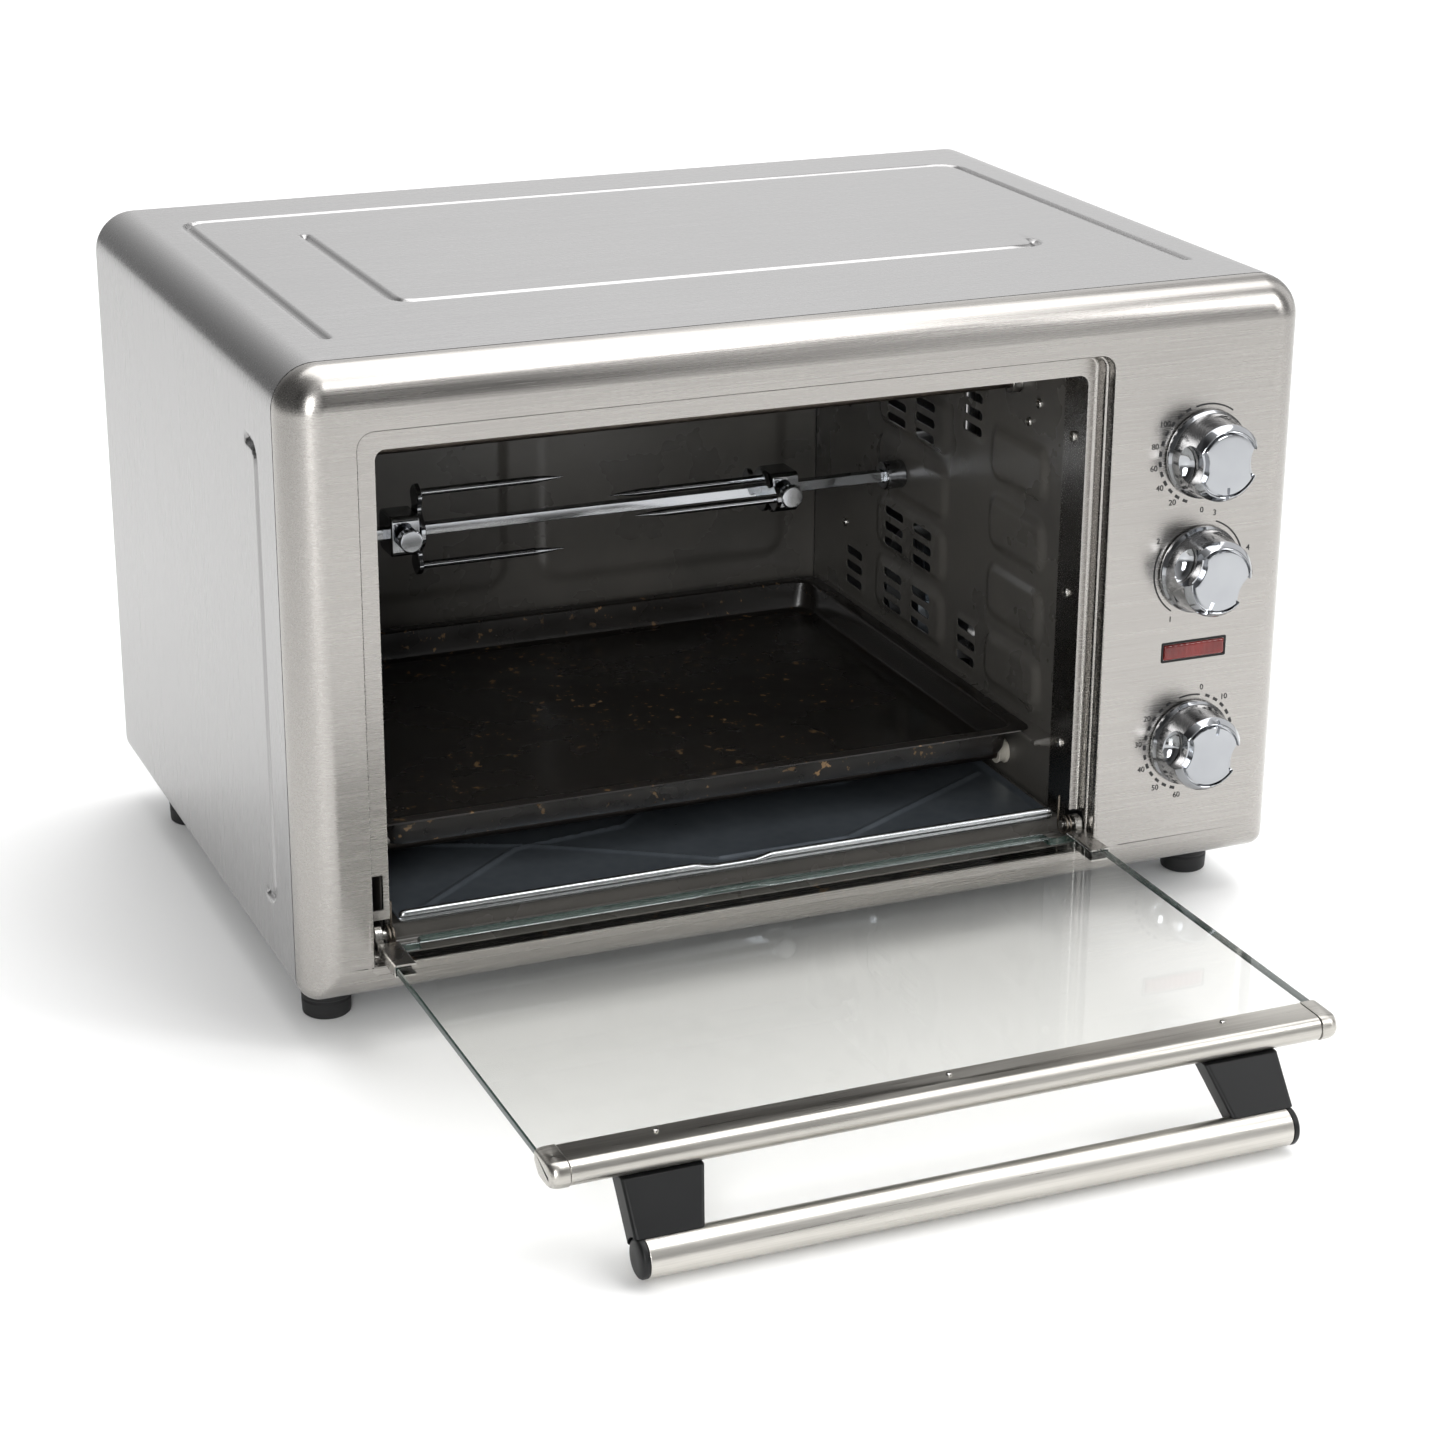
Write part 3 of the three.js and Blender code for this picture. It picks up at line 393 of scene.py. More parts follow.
for x, z in profile:
    if z >= BODY_TOP - 0.01:
        sunk = np.maximum(*[groove_depth([(x, y) for y in depths], g) for g in top_grooves])
        rings.append([(x, y, z - s) for y, s in zip(depths, sunk)])
    elif abs(x) >= BODY_HALF - 0.01:
        sunk = groove_depth([(y, z) for y in depths], side_groove)
        rings.append([(x - math.copysign(s, x), y, z) for y, s in zip(depths, sunk)])
    else:
        rings.append([(x, y, z) for y in depths])
wrap = sheet("wrap_sheet", rings, (0, 0, 1), 0.9)


def brushed_stainless(name, light, dark, scales, rough=(0.22, 0.31), top_scales=None,
                      turn_axis="Z"):
    """Stainless steel with belt-brushed hairlines; scales are features per metre on each axis.

    Real hairlines are about 0.1 mm apart; they are drawn at about 1 mm so that they show."""
    material, tree, shader, where = new_material(name)
    around = add_node(tree, "ShaderNodeTangent", {"direction_type": "RADIAL", "axis": turn_axis})
    source = add_node(tree, "ShaderNodeMapping", {"Scale": scales, "Vector": where}).outputs[0]
    if top_scales:
        facing = add_node(tree, "ShaderNodeSeparateXYZ", {
            0: add_node(tree, "ShaderNodeNewGeometry").outputs["Normal"]})
        lying = maths(tree, "GREATER_THAN", facing.outputs[2], 0.7)
        other = add_node(tree, "ShaderNodeMapping", {"Scale": top_scales, "Vector": where})
        source = add_node(tree, "ShaderNodeMix", {
            "data_type": "VECTOR", 0: lying, 4: source, 5: other.outputs[0]}).outputs[1]
    hairs = noise(tree, source, 1.0, 3.0, 0.65)
    blend = add_node(tree, "ShaderNodeMix", {
        "data_type": "FLOAT", 0: 0.45, 2: spread(tree, hairs, 0.0, 1.0, 0.3, 0.7),
        3: noise(tree, where, 7.0, 2.0)}).outputs[0]
    # Hairlines smear a reflection across themselves, which the anisotropy stands for.
    feed(tree, shader, {
        "Metallic": 1, "Anisotropic": 0.5, "Anisotropic Rotation": 0.25,
        "Tangent": around.outputs[0], "Base Color": two_tone(tree, dark, light, blend),
        "Roughness": spread(tree, blend, *rough), "Normal": bump(tree, hairs, 0.08, 0.0003)})
    return material


wrap_steel = brushed_stainless("brushed_430_stainless_wrap", "#a9a8a8", "#989797",
                               (1300, 1300, 14), top_scales=(16, 1300, 1300), turn_axis="Y")
settle(wrap, "oven_body", wrap_steel, ["outer_wrap"], sharp=50)

# ------------------------------------------------------------------ front bezel
# Deep-drawn stainless panel with a broad rolled edge, brushed side to side. The stepped recess
# takes the closed door, and its flange runs back into the cavity, where screws hold it.
RECESS = (-232, 156, 40, 306)
OPENING = (-219, 148, 44, 292.5)
RECESS_RADIUS = 9
FLANGE_END = 37
BODY_FACE = (-BODY_HALF, BODY_HALF, BODY_LOW, BODY_TOP)
EDGE_STEPS = 14
outer_rings = [[(x, BEZEL_DEPTH, z) for x, z in corner_loop(
    *shrunk(BODY_FACE, 2), LOW_RADIUS - 2, TOP_RADIUS - 2)]]
for i in range(EDGE_STEPS + 1):
    angle = (1 - i / EDGE_STEPS) * math.pi / 2
    inset = BEZEL_DEPTH * (1 - math.sin(angle))
    y = BEZEL_DEPTH * (1 - math.cos(angle))
    loop = corner_loop(*shrunk(BODY_FACE, inset), max(LOW_RADIUS - inset, 1.5),
                       max(TOP_RADIUS - inset, 2))
    outer_rings.append([(x, y, z) for x, z in loop])

step_profile = [(0, 0), (0.4, 0.15), (0.8, 0.6), (1.0, 1.4), (1.1, 5.4), (1.3, 6.1), (1.7, 6.5),
                (2.2, 6.6), (2.5, 7.0), (2.7, 7.8), (2.9, 12.4), (3.3, 13.3), (4.0, 13.8),
                (4.8, 14.0)]
recess_rings = []
for t, y in step_profile:
    loop = corner_loop(RECESS[0] + t, RECESS[1] - t, RECESS[2] + t * 0.5, RECESS[3] - t,
                       3, RECESS_RADIUS - t)
    recess_rings.append([(x, y, z) for x, z in loop])
for grow, y in ((0.5, 14.0), (0.1, 14.2), (0, 14.7), (0, FLANGE_END)):
    loop = corner_loop(*shrunk(OPENING, -grow), 1, 5)
    recess_rings.append([(x, y, z) for x, z in loop])
rim = skin("bezel_panel", outer_rings)
well = skin("bezel_well", recess_rings)
flat_loops = [outer_rings[-1], recess_rings[0]]
flat_points = [p for loop in flat_loops for p in loop]
flat_faces = tessellate_polygon([[Vector((x, z, 0)) for x, _, z in loop] for loop in flat_loops])
plate = make_mesh("bezel_plate", flat_points, [tuple(face) for face in flat_faces])


def merge(piece, *others):
    """Joins other pieces into the first, welding points that meet."""
    work = bmesh.new()
    for part in (piece, *others):
        work.from_mesh(part.data)
    bmesh.ops.remove_doubles(work, verts=work.verts, dist=2e-6)
    work.to_mesh(piece.data)
    work.free()
    for part in others:
        bpy.data.objects.remove(part)
    return piece


merge(rim, plate, well)
plane_y = place(0, 0, 0).y
face_front(rim, lambda faces: next(
    f for f in faces if all(abs(v.co.y - plane_y) < 1e-6 for v in f.verts)).normal.y < 0)
modify(rim, "SOLIDIFY", thickness=0.0009, offset=-1)


def box_cutter(x0, x1, y0, y1, z0, z1):
    """A throwaway block used to cut an opening."""
    points = [(x, y, z) for x in (x0, x1) for y in (y0, y1) for z in (z0, z1)]
    faces = [(0, 1, 3, 2), (4, 6, 7, 5), (0, 4, 5, 1), (2, 3, 7, 6), (0, 2, 6, 4), (1, 5, 7, 3)]
    return outward(make_mesh("cutter", points, faces))


def cut_with(piece, *cutters):
    """Subtracts each cutter from the piece and removes the cutter."""
    for cutter in cutters:
        modify(piece, "BOOLEAN", object=cutter, operation="DIFFERENCE", solver="MANIFOLD")
        bpy.data.objects.remove(cutter)
    return piece


# Openings in the recess: one for the left spring's leg and one for each hinge.
SPRING_SLOT = (66, 84)
HINGE_HOLE = (46, 61)
cut_with(rim,
         box_cutter(RECESS[0] + 4.4, RECESS[0] + 10, 12, 18, *SPRING_SLOT),
         box_cutter(RECESS[0] + 1.4, OPENING[0] + 2, 9, 20, *HINGE_HOLE),
         box_cutter(OPENING[1] - 2, RECESS[1] - 1.4, 9, 20, *HINGE_HOLE))
# Brushed side to side, so the front shows faint level lines and smears reflections upright.
front_steel = brushed_stainless("brushed_430_stainless_front", "#b0ada9", "#9b9895",
                                (14, 1300, 1300))
settle(rim, "oven_body", front_steel, ["front_bezel"], sharp=40)


AXES = {"x": Vector((1, 0, 0)), "y": Vector((0, 1, 0)), "z": Vector((0, 0, 1)),
        "-x": Vector((-1, 0, 0)), "-y": Vector((0, -1, 0))}


def lathe(name, outline, axis, centre, steps=48):
    """Turns (distance along axis, radius) points about an axis through a centre point."""
    along = AXES[axis]
    side = along.orthogonal().normalized()
    other = along.cross(side)
    rings = []
    for distance, radius in outline:
        rings.append([tuple(Vector(centre) + along * distance + radius * (
            side * math.cos(2 * math.pi * i / steps) + other * math.sin(2 * math.pi * i / steps)))
            for i in range(steps)])
    return outward(skin(name, rings, caps=True))


def cross_screw(name, centre, axis, radius, body, material):
    """A pan-head screw with a cross recess pressed in its head."""
    head = lathe(name, [(0, radius), (radius * 0.25, radius), (radius * 0.5, radius * 0.86),
                        (radius * 0.66, radius * 0.5), (radius * 0.7, 0.05)], axis, centre, 24)
    lift = AXES[axis]
    middle = Vector(centre) + lift * radius * 0.8
    long, thin, deep = radius * 0.55, radius * 0.12, radius * 0.55
    for turn in (0, 1):
        spans = []
        used = 0
        for k in range(3):
            if lift[k]:
                spans += [middle[k] - deep, middle[k] + deep]
            else:
                reach = long if (used + turn) % 2 else thin
                spans += [middle[k] - reach, middle[k] + reach]
                used += 1
        cut_with(head, box_cutter(*spans))
    return settle(head, body, material)


def plated_steel(name, light, dark, rough):
    """Plated or heat-coloured mild steel: a dull metal with faint cloudy staining."""
    material, tree, shader, where = new_material(name)
    stain = noise(tree, where, 60.0, 4.0)
    feed(tree, shader, {"Metallic": 1, "Base Color": two_tone(tree, dark, light, stain),
                        "Roughness": spread(tree, stain, rough - 0.08, rough + 0.12)})
    return material


# Plain zinc plate is grey and cloudy; screws and brackets have a brighter, smoother plate.
zinc = plated_steel("zinc_plated_steel", "#b4b6b8", "#8f9193", 0.38)
bright_zinc = plated_steel("bright_plated_steel", "#cfcdc9", "#9a9894", 0.25)
for side, wall, axis in (("left", OPENING[0], "x"), ("right", OPENING[1], "-x")):
    for i, z in enumerate((94, 176, 258)):
        cross_screw(f"flange_screw_{side}_{i + 1}", (wall, 27, z), axis, 2.8, "oven_body",
                    bright_zinc)


# ------------------------------------------------------------------ rear panel and base
# The back is a zinc-plated sheet screwed inside the wrap, with a row of cooling slots and a
# plastic strain relief for the lead. The base plate carries four moulded rubber feet.
REAR_Y = 368


def dress(node, material):
    """Gives a CAD node its finish."""
    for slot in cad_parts[node].material_slots:
        slot.material = material


def pill_cutter(axis, centre, long, short, deep, upright=False, steps=8):
    """A throwaway round-ended slot along y or x, cutting through along the given axis."""
    half = long / 2 - short / 2
    loop = []
    for end in (1, -1):
        for i in range(steps + 1):
            angle = (i / steps - 0.5) * math.pi + (0 if end > 0 else math.pi)
            a = end * half + short / 2 * math.cos(angle)
            b = short / 2 * math.sin(angle)
            loop.append((b, a) if upright else (a, b))
    rings = []
    for reach in (-deep, deep):
        if axis == "x":
            rings.append([(centre[0] + reach, centre[1] + a, centre[2] + b) for a, b in loop])
        elif axis == "y":
            rings.append([(centre[0] + a, centre[1] + reach, centre[2] + b) for a, b in loop])
        else:
            rings.append([(centre[0] + a, centre[1] + b, centre[2] + reach) for a, b in loop])
    return outward(skin("cutter", rings, caps=True))


REAR_PANEL = (-263.5, 263.5, 29.2, 333.5)
CORD_X = 228
CORD_Z = 62
rear_rings = [[(x, REAR_Y + 1.2 - lift, z) for x, z in corner_loop(
    *shrunk(REAR_PANEL, t), 8.5, 19.5 - min(t, 12) * 0.6, 6)]
    for t, lift in ((0, 0), (9, 0), (10, 0.1), (12, 0.7), (13, 0.8))]
panel = skin("rear_sheet", rear_rings)
inner_loop = rear_rings[-1]
merge(panel, make_mesh("rear_middle", inner_loop, [tuple(range(len(inner_loop)))]))
face_front(panel, lambda faces: max(faces, key=lambda f: f.calc_area()).normal.y > 0)
modify(panel, "SOLIDIFY", thickness=0.0007, offset=-1)
rear_cuts = [pill_cutter("y", (172 + 9 * i, REAR_Y + 1, 245), 60, 4, 4, upright=True)
             for i in range(9)]
rear_cuts.append(lathe("cutter", [(-4, 7.3), (4, 7.3)], "y", (CORD_X, REAR_Y + 1, CORD_Z)))
cut_with(panel, merge(*rear_cuts))
settle(panel, "oven_body", zinc, ["rear_panel"])
for i, (x, z) in enumerate(((-256, 300), (256, 300), (-256, 60), (256, 60), (-90, 328),
                            (90, 328), (0, 34))):
    cross_screw(f"rear_screw_{i + 1}", (x, REAR_Y + 1.1, z), "y", 2.7, "oven_body", bright_zinc)


def moulded(name, colour, rough, grain_mm, depth_mm, coat=0.0, gloss=0.5):
    """Moulded plastic or rubber: one colour with a fine eroded mould texture."""
    material, tree, shader, where = new_material(name)
    specks = noise(tree, where, 1000 / grain_mm, 2.0)
    broad = noise(tree, where, 40.0, 2.0)
    pale = tuple(min(1, c * 1.35 + 0.004) for c in linear(colour)[:3]) + (1,)
    tone = add_node(tree, "ShaderNodeMix", {
        "data_type": "RGBA", 0: broad, 6: linear(colour), 7: pale})
    feed(tree, shader, {
        "Base Color": tone.outputs[2], "Coat Weight": coat, "Specular IOR Level": gloss,
        "Roughness": spread(tree, broad, rough - 0.06, rough + 0.1),
        "Normal": bump(tree, specks, 0.35, depth_mm / 1000)})
    return material


# The nylon is near black and matt with a soft sheen; the rubber is duller and a little greyer.
charcoal_nylon = moulded("charcoal_moulded_nylon", "#08090a", 0.42, 0.8, 0.05, gloss=0.3)
foot_rubber = moulded("black_moulded_rubber", "#151516", 0.62, 1.0, 0.1)
gland = lathe("strain_relief", [
    (-5, 3.6), (-5, 7), (1.6, 7), (1.6, 10.4), (2.2, 11), (3.2, 11), (3.9, 10.3), (4, 8),
    (6, 6.8), (11, 6.0), (12, 5.4), (12, 3.6)], "y", (CORD_X, REAR_Y, CORD_Z), 40)
cut_with(gland, lathe("cutter", [(-9, 3.5), (16, 3.5)], "y", (CORD_X, REAR_Y, CORD_Z), 32))
settle(gland, "oven_body", charcoal_nylon, ["cord_grommet"])
dress("base_pan", zinc)
for name, x, y in (("front_left", -241.5, 52), ("front_right", 241.5, 52),
                   ("rear_left", -241.5, 319), ("rear_right", 241.5, 319)):
    foot = lathe(f"foot_{name}_pad", [
        (0, 9.6), (0.1, 11), (0.8, 11.8), (1.6, 12.0), (8, 12.3), (8.6, 11.8), (9.4, 11.8),
        (10, 12.4), (22.6, 12.9), (23.8, 12.6), (24.2, 11.8), (24.2, 4), (30.2, 4)],
        "z", (x, y, 0), 40)
    settle(foot, "oven_body", foot_rubber, [f"foot_{name}"], sharp=30)


# ------------------------------------------------------------------ cavity
# Pressed steel sheets coated in black enamel: cushion-like pads and slots stiffen and vent the
# side walls, a ledge carries the pan, and the floor sheet starts in a low sill with two ribs.
def enamel(name, dark, light, rough, grease=0.0):
    """Fired black enamel: glassy, faintly orange-peeled, with optional dried grease spots."""
    material, tree, shader, where = new_material(name)
    cloud = noise(tree, where, 22.0, 4.0)
    tone = two_tone(tree, dark, light, cloud)
    dull = spread(tree, cloud, rough - 0.1, rough + 0.16)
    if grease:
        # Pale tan spots 1 to 4 mm across gather in patches, over a film that dulls the gloss.
        patch = noise(tree, where, 11.0, 5.0)
        spot = spread(tree, noise(tree, where, 210.0, 3.0), 0.0, 1.0, 0.65, 0.69)
        gathered = spread(tree, patch, 0.04, grease, 0.44, 0.6)
        tone = add_node(tree, "ShaderNodeMix", {
            "data_type": "RGBA", 0: maths(tree, "MULTIPLY", spot, gathered), 6: tone,
            7: linear("#a8865c")}).outputs[2]
        dull = maths(tree, "ADD", dull, spread(tree, patch, 0.0, 0.22, 0.4, 0.65))
    waves = noise(tree, where, 260.0, 2.0)
    feed(tree, shader, {"Base Color": tone, "Roughness": dull, "IOR": 1.55,
                        "Normal": bump(tree, waves, 0.1, 0.0005)})
    return material


# The black enamel is painted a soft grey, painted light for the dim cavity that the lamps barely
# reach; its soft gloss lets the pads catch the light without a hard mirror.
cavity_enamel_painted_light = enamel("black_enamel_wall_painted_light", "#454442", "#63605b", 0.25)
WALL_LEFT = -220.5
WALL_RIGHT = 149.5
WALL_SPAN = (22, 339.6, 47, 296)
PAD_HEIGHT = 2.4
PAD_SLOPE = 4.2
front_pads = [(53, 116, z, z + 30) for z in (99, 137, 175, 213)]
rear_pads = [(165, 253, 99, 131), (165, 253, 136, 167), (165, 253, 172, 204), (165, 253, 209, 240)]
LEDGE = (40, 330, 88.1, 92.5)
LEDGE_REACH = 10


def pad_height(a, b, pad, radius, slope, height):
    """Smooth cushion height at points (a, b) for a rounded-rectangle pad."""
    a0, a1, b0, b1 = pad
    ca, cb = (a0 + a1) / 2, (b0 + b1) / 2
    qa = np.abs(a - ca) - (a1 - a0) / 2 + radius
    qb = np.abs(b - cb) - (b1 - b0) / 2 + radius
    beyond = np.hypot(np.maximum(qa, 0), np.maximum(qb, 0))
    outside = beyond + np.minimum(np.maximum(qa, qb), 0) - radius
    share = np.clip(-outside / slope, 0, 1)
    return height * share * share * (3 - 2 * share)


def wall_slots():
    """Centres of the vent slots on the right wall as (y, z, length)."""
    slots = []
    for y0, y1, z0, z1 in (rear_pads[0], rear_pads[1], rear_pads[3]):
        for dz in (-9, 0, 9):
            slots += [(y0 + 26, (z0 + z1) / 2 + dz, 24), (y1 - 26, (z0 + z1) / 2 + dz, 24)]
    for y, z in ((139, 242), (139, 112), (283, 112)):
        slots += [(y, z + dz, 22) for dz in (-9, 0, 9)]
    return slots


def side_wall(name, inner, outward_sign, slots):
    """One pressed side wall; the pads swell into the cavity."""
    ys = np.array(fine_lines(WALL_SPAN[0], WALL_SPAN[1], 2.2, [(36, 44), (326, 334)], 1.0))
    zs = np.array(fine_lines(WALL_SPAN[2], WALL_SPAN[3], 2.2, [(85, 95)], 0.8))
    b, a = np.meshgrid(zs, ys)
    swell = np.zeros_like(a)
    for pad in front_pads + rear_pads:
        swell = np.maximum(swell, pad_height(a, b, pad, 9, PAD_SLOPE, PAD_HEIGHT))
    ledge_pad = (LEDGE[0] - 3, LEDGE[1] + 3, LEDGE[2] - 1.0, LEDGE[3] + 0.6)
    swell = np.maximum(swell, pad_height(a, b, ledge_pad, 2, 1.9, LEDGE_REACH))
    for y, z, length in slots:
        # A low raised lip 0.55 mm high runs round each slot.
        gap = np.hypot(np.maximum(np.abs(a - y) - length / 2 + 2.5, 0), b - z) - 2.5
        swell = swell + 0.55 * np.exp(-((gap - 0.8) / 1.1) ** 2)
    rings = [[(inner - outward_sign * swell[i, j], ys[i], zs[j]) for j in range(len(zs))]
             for i in range(len(ys))]
    return sheet(name, rings, (-outward_sign, 0, 0), 0.7)


HEATERS = (("lower", "front", 90, 67), ("lower", "rear", 270, 67), ("upper", "front", 90, 272),
           ("upper", "rear", 270, 272))
SPIT_Y = 218
SPIT_Z = 187
for side, inner, sign, slots in (("left", WALL_LEFT, -1, []),
                                 ("right", WALL_RIGHT, 1, wall_slots())):
    wall = side_wall(f"{side}_wall_sheet", inner, sign, slots)
    cutters = [pill_cutter("x", (inner, y, z), length, 5, 5) for y, z, length in slots]
    for _, _, y, z in HEATERS:
        cutters.append(lathe("cutter", [(-4, 4.4), (4, 4.4)], "x", (inner, y, z), 24))
    if side == "right":
        cutters.append(lathe("cutter", [(-4, 5.4), (4, 5.4)], "x", (inner, SPIT_Y, SPIT_Z), 32))
    cut_with(wall, merge(*cutters))
    settle(wall, "oven_body", cavity_enamel_painted_light, [f"cavity_{side}_wall"], sharp=55)
for i, (y, z) in enumerate(((121, 262), (296, 133), (139, 88), (66, 262), (76, 250), (300, 262))):
    cross_screw(f"wall_screw_right_{i + 1}", (WALL_RIGHT, y, z + 3), "-x", 2.6, "oven_body",
                bright_zinc)
    cross_screw(f"wall_screw_left_{i + 1}", (WALL_LEFT, y, z + 3), "x", 2.6, "oven_body",
                bright_zinc)

roof_xs = np.array(fine_lines(-218.7, 147.7, 12, [(-184, -174), (103, 113)], 1.5))
roof_ys = np.array(fine_lines(22, 339.7, 12, [(146, 160), (206, 220)], 1.2))
b, a = np.meshgrid(roof_xs, roof_ys)
lift = np.maximum(pad_height(a, b, (149, 157, -178, 107), 3.5, 3, 3),
                  pad_height(a, b, (209, 217, -178, 107), 3.5, 3, 3))
roof = sheet("roof_sheet", [[(b[i, j], a[i, j], 294.0 + lift[i, j]) for j in range(b.shape[1])]
                            for i in range(b.shape[0])], (0, 0, -1), 0.9)
settle(roof, "oven_body", cavity_enamel_painted_light, ["cavity_roof"])

BACK_Y = 340
b, a = np.meshgrid(np.linspace(55, 296, 105), np.linspace(-220.2, 149.2, 160))
swell = np.maximum(pad_height(a, b, (-200.5, -43.5, 105, 262), 16, 7, 2.4),
                   pad_height(a, b, (-27, 130, 105, 262), 16, 7, 2.4))
back = sheet("back_sheet", [[(a[i, j], BACK_Y - swell[i, j], b[i, j]) for j in range(b.shape[1])]
                            for i in range(b.shape[0])], (0, -1, 0), 0.7)
settle(back, "oven_body", cavity_enamel_painted_light, ["cavity_back_wall"])
SILL_Z = 46.7
sill = [(5, 45.9), (5.3, 46.5), (6, SILL_Z), (12.4, SILL_Z)]
for y in (13.75, 17.75):
    sill += [(y - 0.9 + 1.8 * i / 6, SILL_Z + 0.95 * math.sin(math.pi * i / 6)) for i in range(7)]
sill += [(19.5, SILL_Z), (21.4, SILL_Z), (21.9, 46.9), (22.1, 47.4), (22.1, 53.4), (22.3, 53.9),
         (22.8, 54.2), (339.6, 54.2)]
floor_sheet = sheet("floor_sheet", [[(x, y, z) for y, z in sill] for x in (-218.6, 147.6)],
                    (0, 0, 1), 0.9)
settle(floor_sheet, "oven_body", cavity_enamel_painted_light, ["cavity_floor"])

# ------------------------------------------------------------------ heaters
# Four steel-sheathed rods, oxidised dark by heat, each in a pressed collar and a ceramic bush.
# The sheath is a dull brown-black metal; the bushes are off-white and slightly glazed.
heated_sheath = plated_steel("heat_darkened_sheath", "#5d564f", "#3a3531", 0.42)
ceramic = moulded("glazed_steatite", "#c9c4b8", 0.35, 1.2, 0.03, coat=0.3)
for level, row, y, z in HEATERS:
    rod = lathe(f"{level}_{row}_rod", [
        (-240.5, 1.2), (-240, 1.6), (-229.6, 1.6), (-229.4, 3.4), (-228.6, 4), (157.6, 4),
        (158.4, 3.4), (158.6, 1.6), (169, 1.6), (169.5, 1.2)], "x", (0, y, z), 32)
    settle(rod, "oven_body", heated_sheath, [f"{level}_element_{row}"])
    for side, wall, axis in (("left", WALL_LEFT, "x"), ("right", WALL_RIGHT, "-x")):
        collar = lathe(f"{level}_{row}_collar_{side}", [
            (0.2, 4.1), (0.2, 6.9), (0.9, 6.9), (1.4, 6.2), (4.2, 6.0), (4.9, 6.4), (5.6, 6.5),
            (6.0, 6.0), (6.0, 4.1)], axis, (wall, y, z), 32)
        settle(collar, "oven_body", ceramic if level == "lower" else bright_zinc)

# ------------------------------------------------------------------ spit and drive
# A chromed square rod turns in a socket on the gear motor and rests on a hook. Two forks slide
# along it, and a knurled screw through each hub clamps it to the rod.
# Chrome over nickel: a cool, dark mirror that handling has clouded only slightly.
chrome, tree, shader, where = new_material("polished_chrome_plate")
swirl = noise(tree, where, 45.0, 3.0)
feed(tree, shader, {"Metallic": 1, "Base Color": two_tone(tree, "#9a9ca0", "#aeb0b3", swirl),
                    "Roughness": spread(tree, swirl, 0.05, 0.13)})


def square_bar(name, x0, x1, half, chamfer=0.6):
    """A bar of square section with eased edges and ends, along x through the spit axis."""
    rings = []
    for x, inset in ((x0, 0.6), (x0 + 0.5, 0), (x1 - 0.5, 0), (x1, 0.6)):
        loop = corner_loop(SPIT_Y - half + inset, SPIT_Y + half - inset, SPIT_Z - half + inset,
                           SPIT_Z + half - inset, chamfer, steps=3)
        rings.append([(x, y, z) for y, z in loop])
    return outward(skin(name, rings, caps=True))


rod = square_bar("spit_bar", -205.5, 143.5, 3)
neck = lathe("spit_neck", [
    (-216.2, 3.2), (-215.8, 3.9), (-212.3, 3.9), (-211.7, 3.4), (-211.4, 2.2), (-204.5, 2.2)],
    "x", (0, SPIT_Y, SPIT_Z), 28)
merge(rod, neck)
settle(rod, "spit", chrome, ["spit_rod"])
socket = lathe("socket_body", [
    (134.2, 6.6), (134.5, 7.5), (135.2, 8), (145.6, 8), (146.6, 7.4), (146.7, 5), (159.8, 5)],
    "x", (0, SPIT_Y, SPIT_Z), 40)
cut_with(socket, square_bar("cutter", 133, 144, 3.4, 0.3))
settle(socket, "spit", chrome, ["drive_socket"])
hook_bend = ((-217.6, 200.6), (-217.6, 157.4), (-216.7, 156.4), (-209.9, 156.4),
             (-208.9, 157.4), (-208.9, 195.6))
hook = make_mesh("hook_strap", [(x, y, z) for y in (206, 230) for x, z in hook_bend],
                 [(i, i + 1, i + 7, i + 6) for i in range(5)])
modify(hook, "SOLIDIFY", thickness=0.0011, offset=0)
modify(hook, "BEVEL", width=0.0003, segments=2)
notch = pill_cutter("x", (-209, SPIT_Y, SPIT_Z + 8), 21.2, 5.4, 4, upright=True)
cut_with(hook, notch)
# Spring steel is left bare and oiled: browner and darker than the plated parts.
spring_steel = plated_steel("oiled_spring_steel", "#8d857b", "#5f5850", 0.3)
settle(hook, "oven_body", spring_steel, ["spit_support"])
for i, z in enumerate((168, 192)):
    cross_screw(f"hook_screw_{i + 1}", (-217.1, 211.5, z), "x", 2.2, "oven_body", bright_zinc)


def lobed_outline(inset):
    """The stamped fork plate: a round middle and a smaller lobe round each tine."""
    outline = []
    for turn in (1, -1):
        for i in range(41):
            along = (1 - i / 20) * (25 - inset)
            middle = 7.0 * math.exp(-(along / 8.5) ** 4)
            lobe = 2.6 * math.exp(-((abs(along) - 19.5) / 4.5) ** 2)
            half = max(4.6 + middle + lobe - inset, 0.4)
            end = min(1, max(0, abs(along) - 18 + inset) / 7)
            outline.append((turn * half * math.sqrt(1 - end ** 2 * 0.995), turn * along))
    return outline


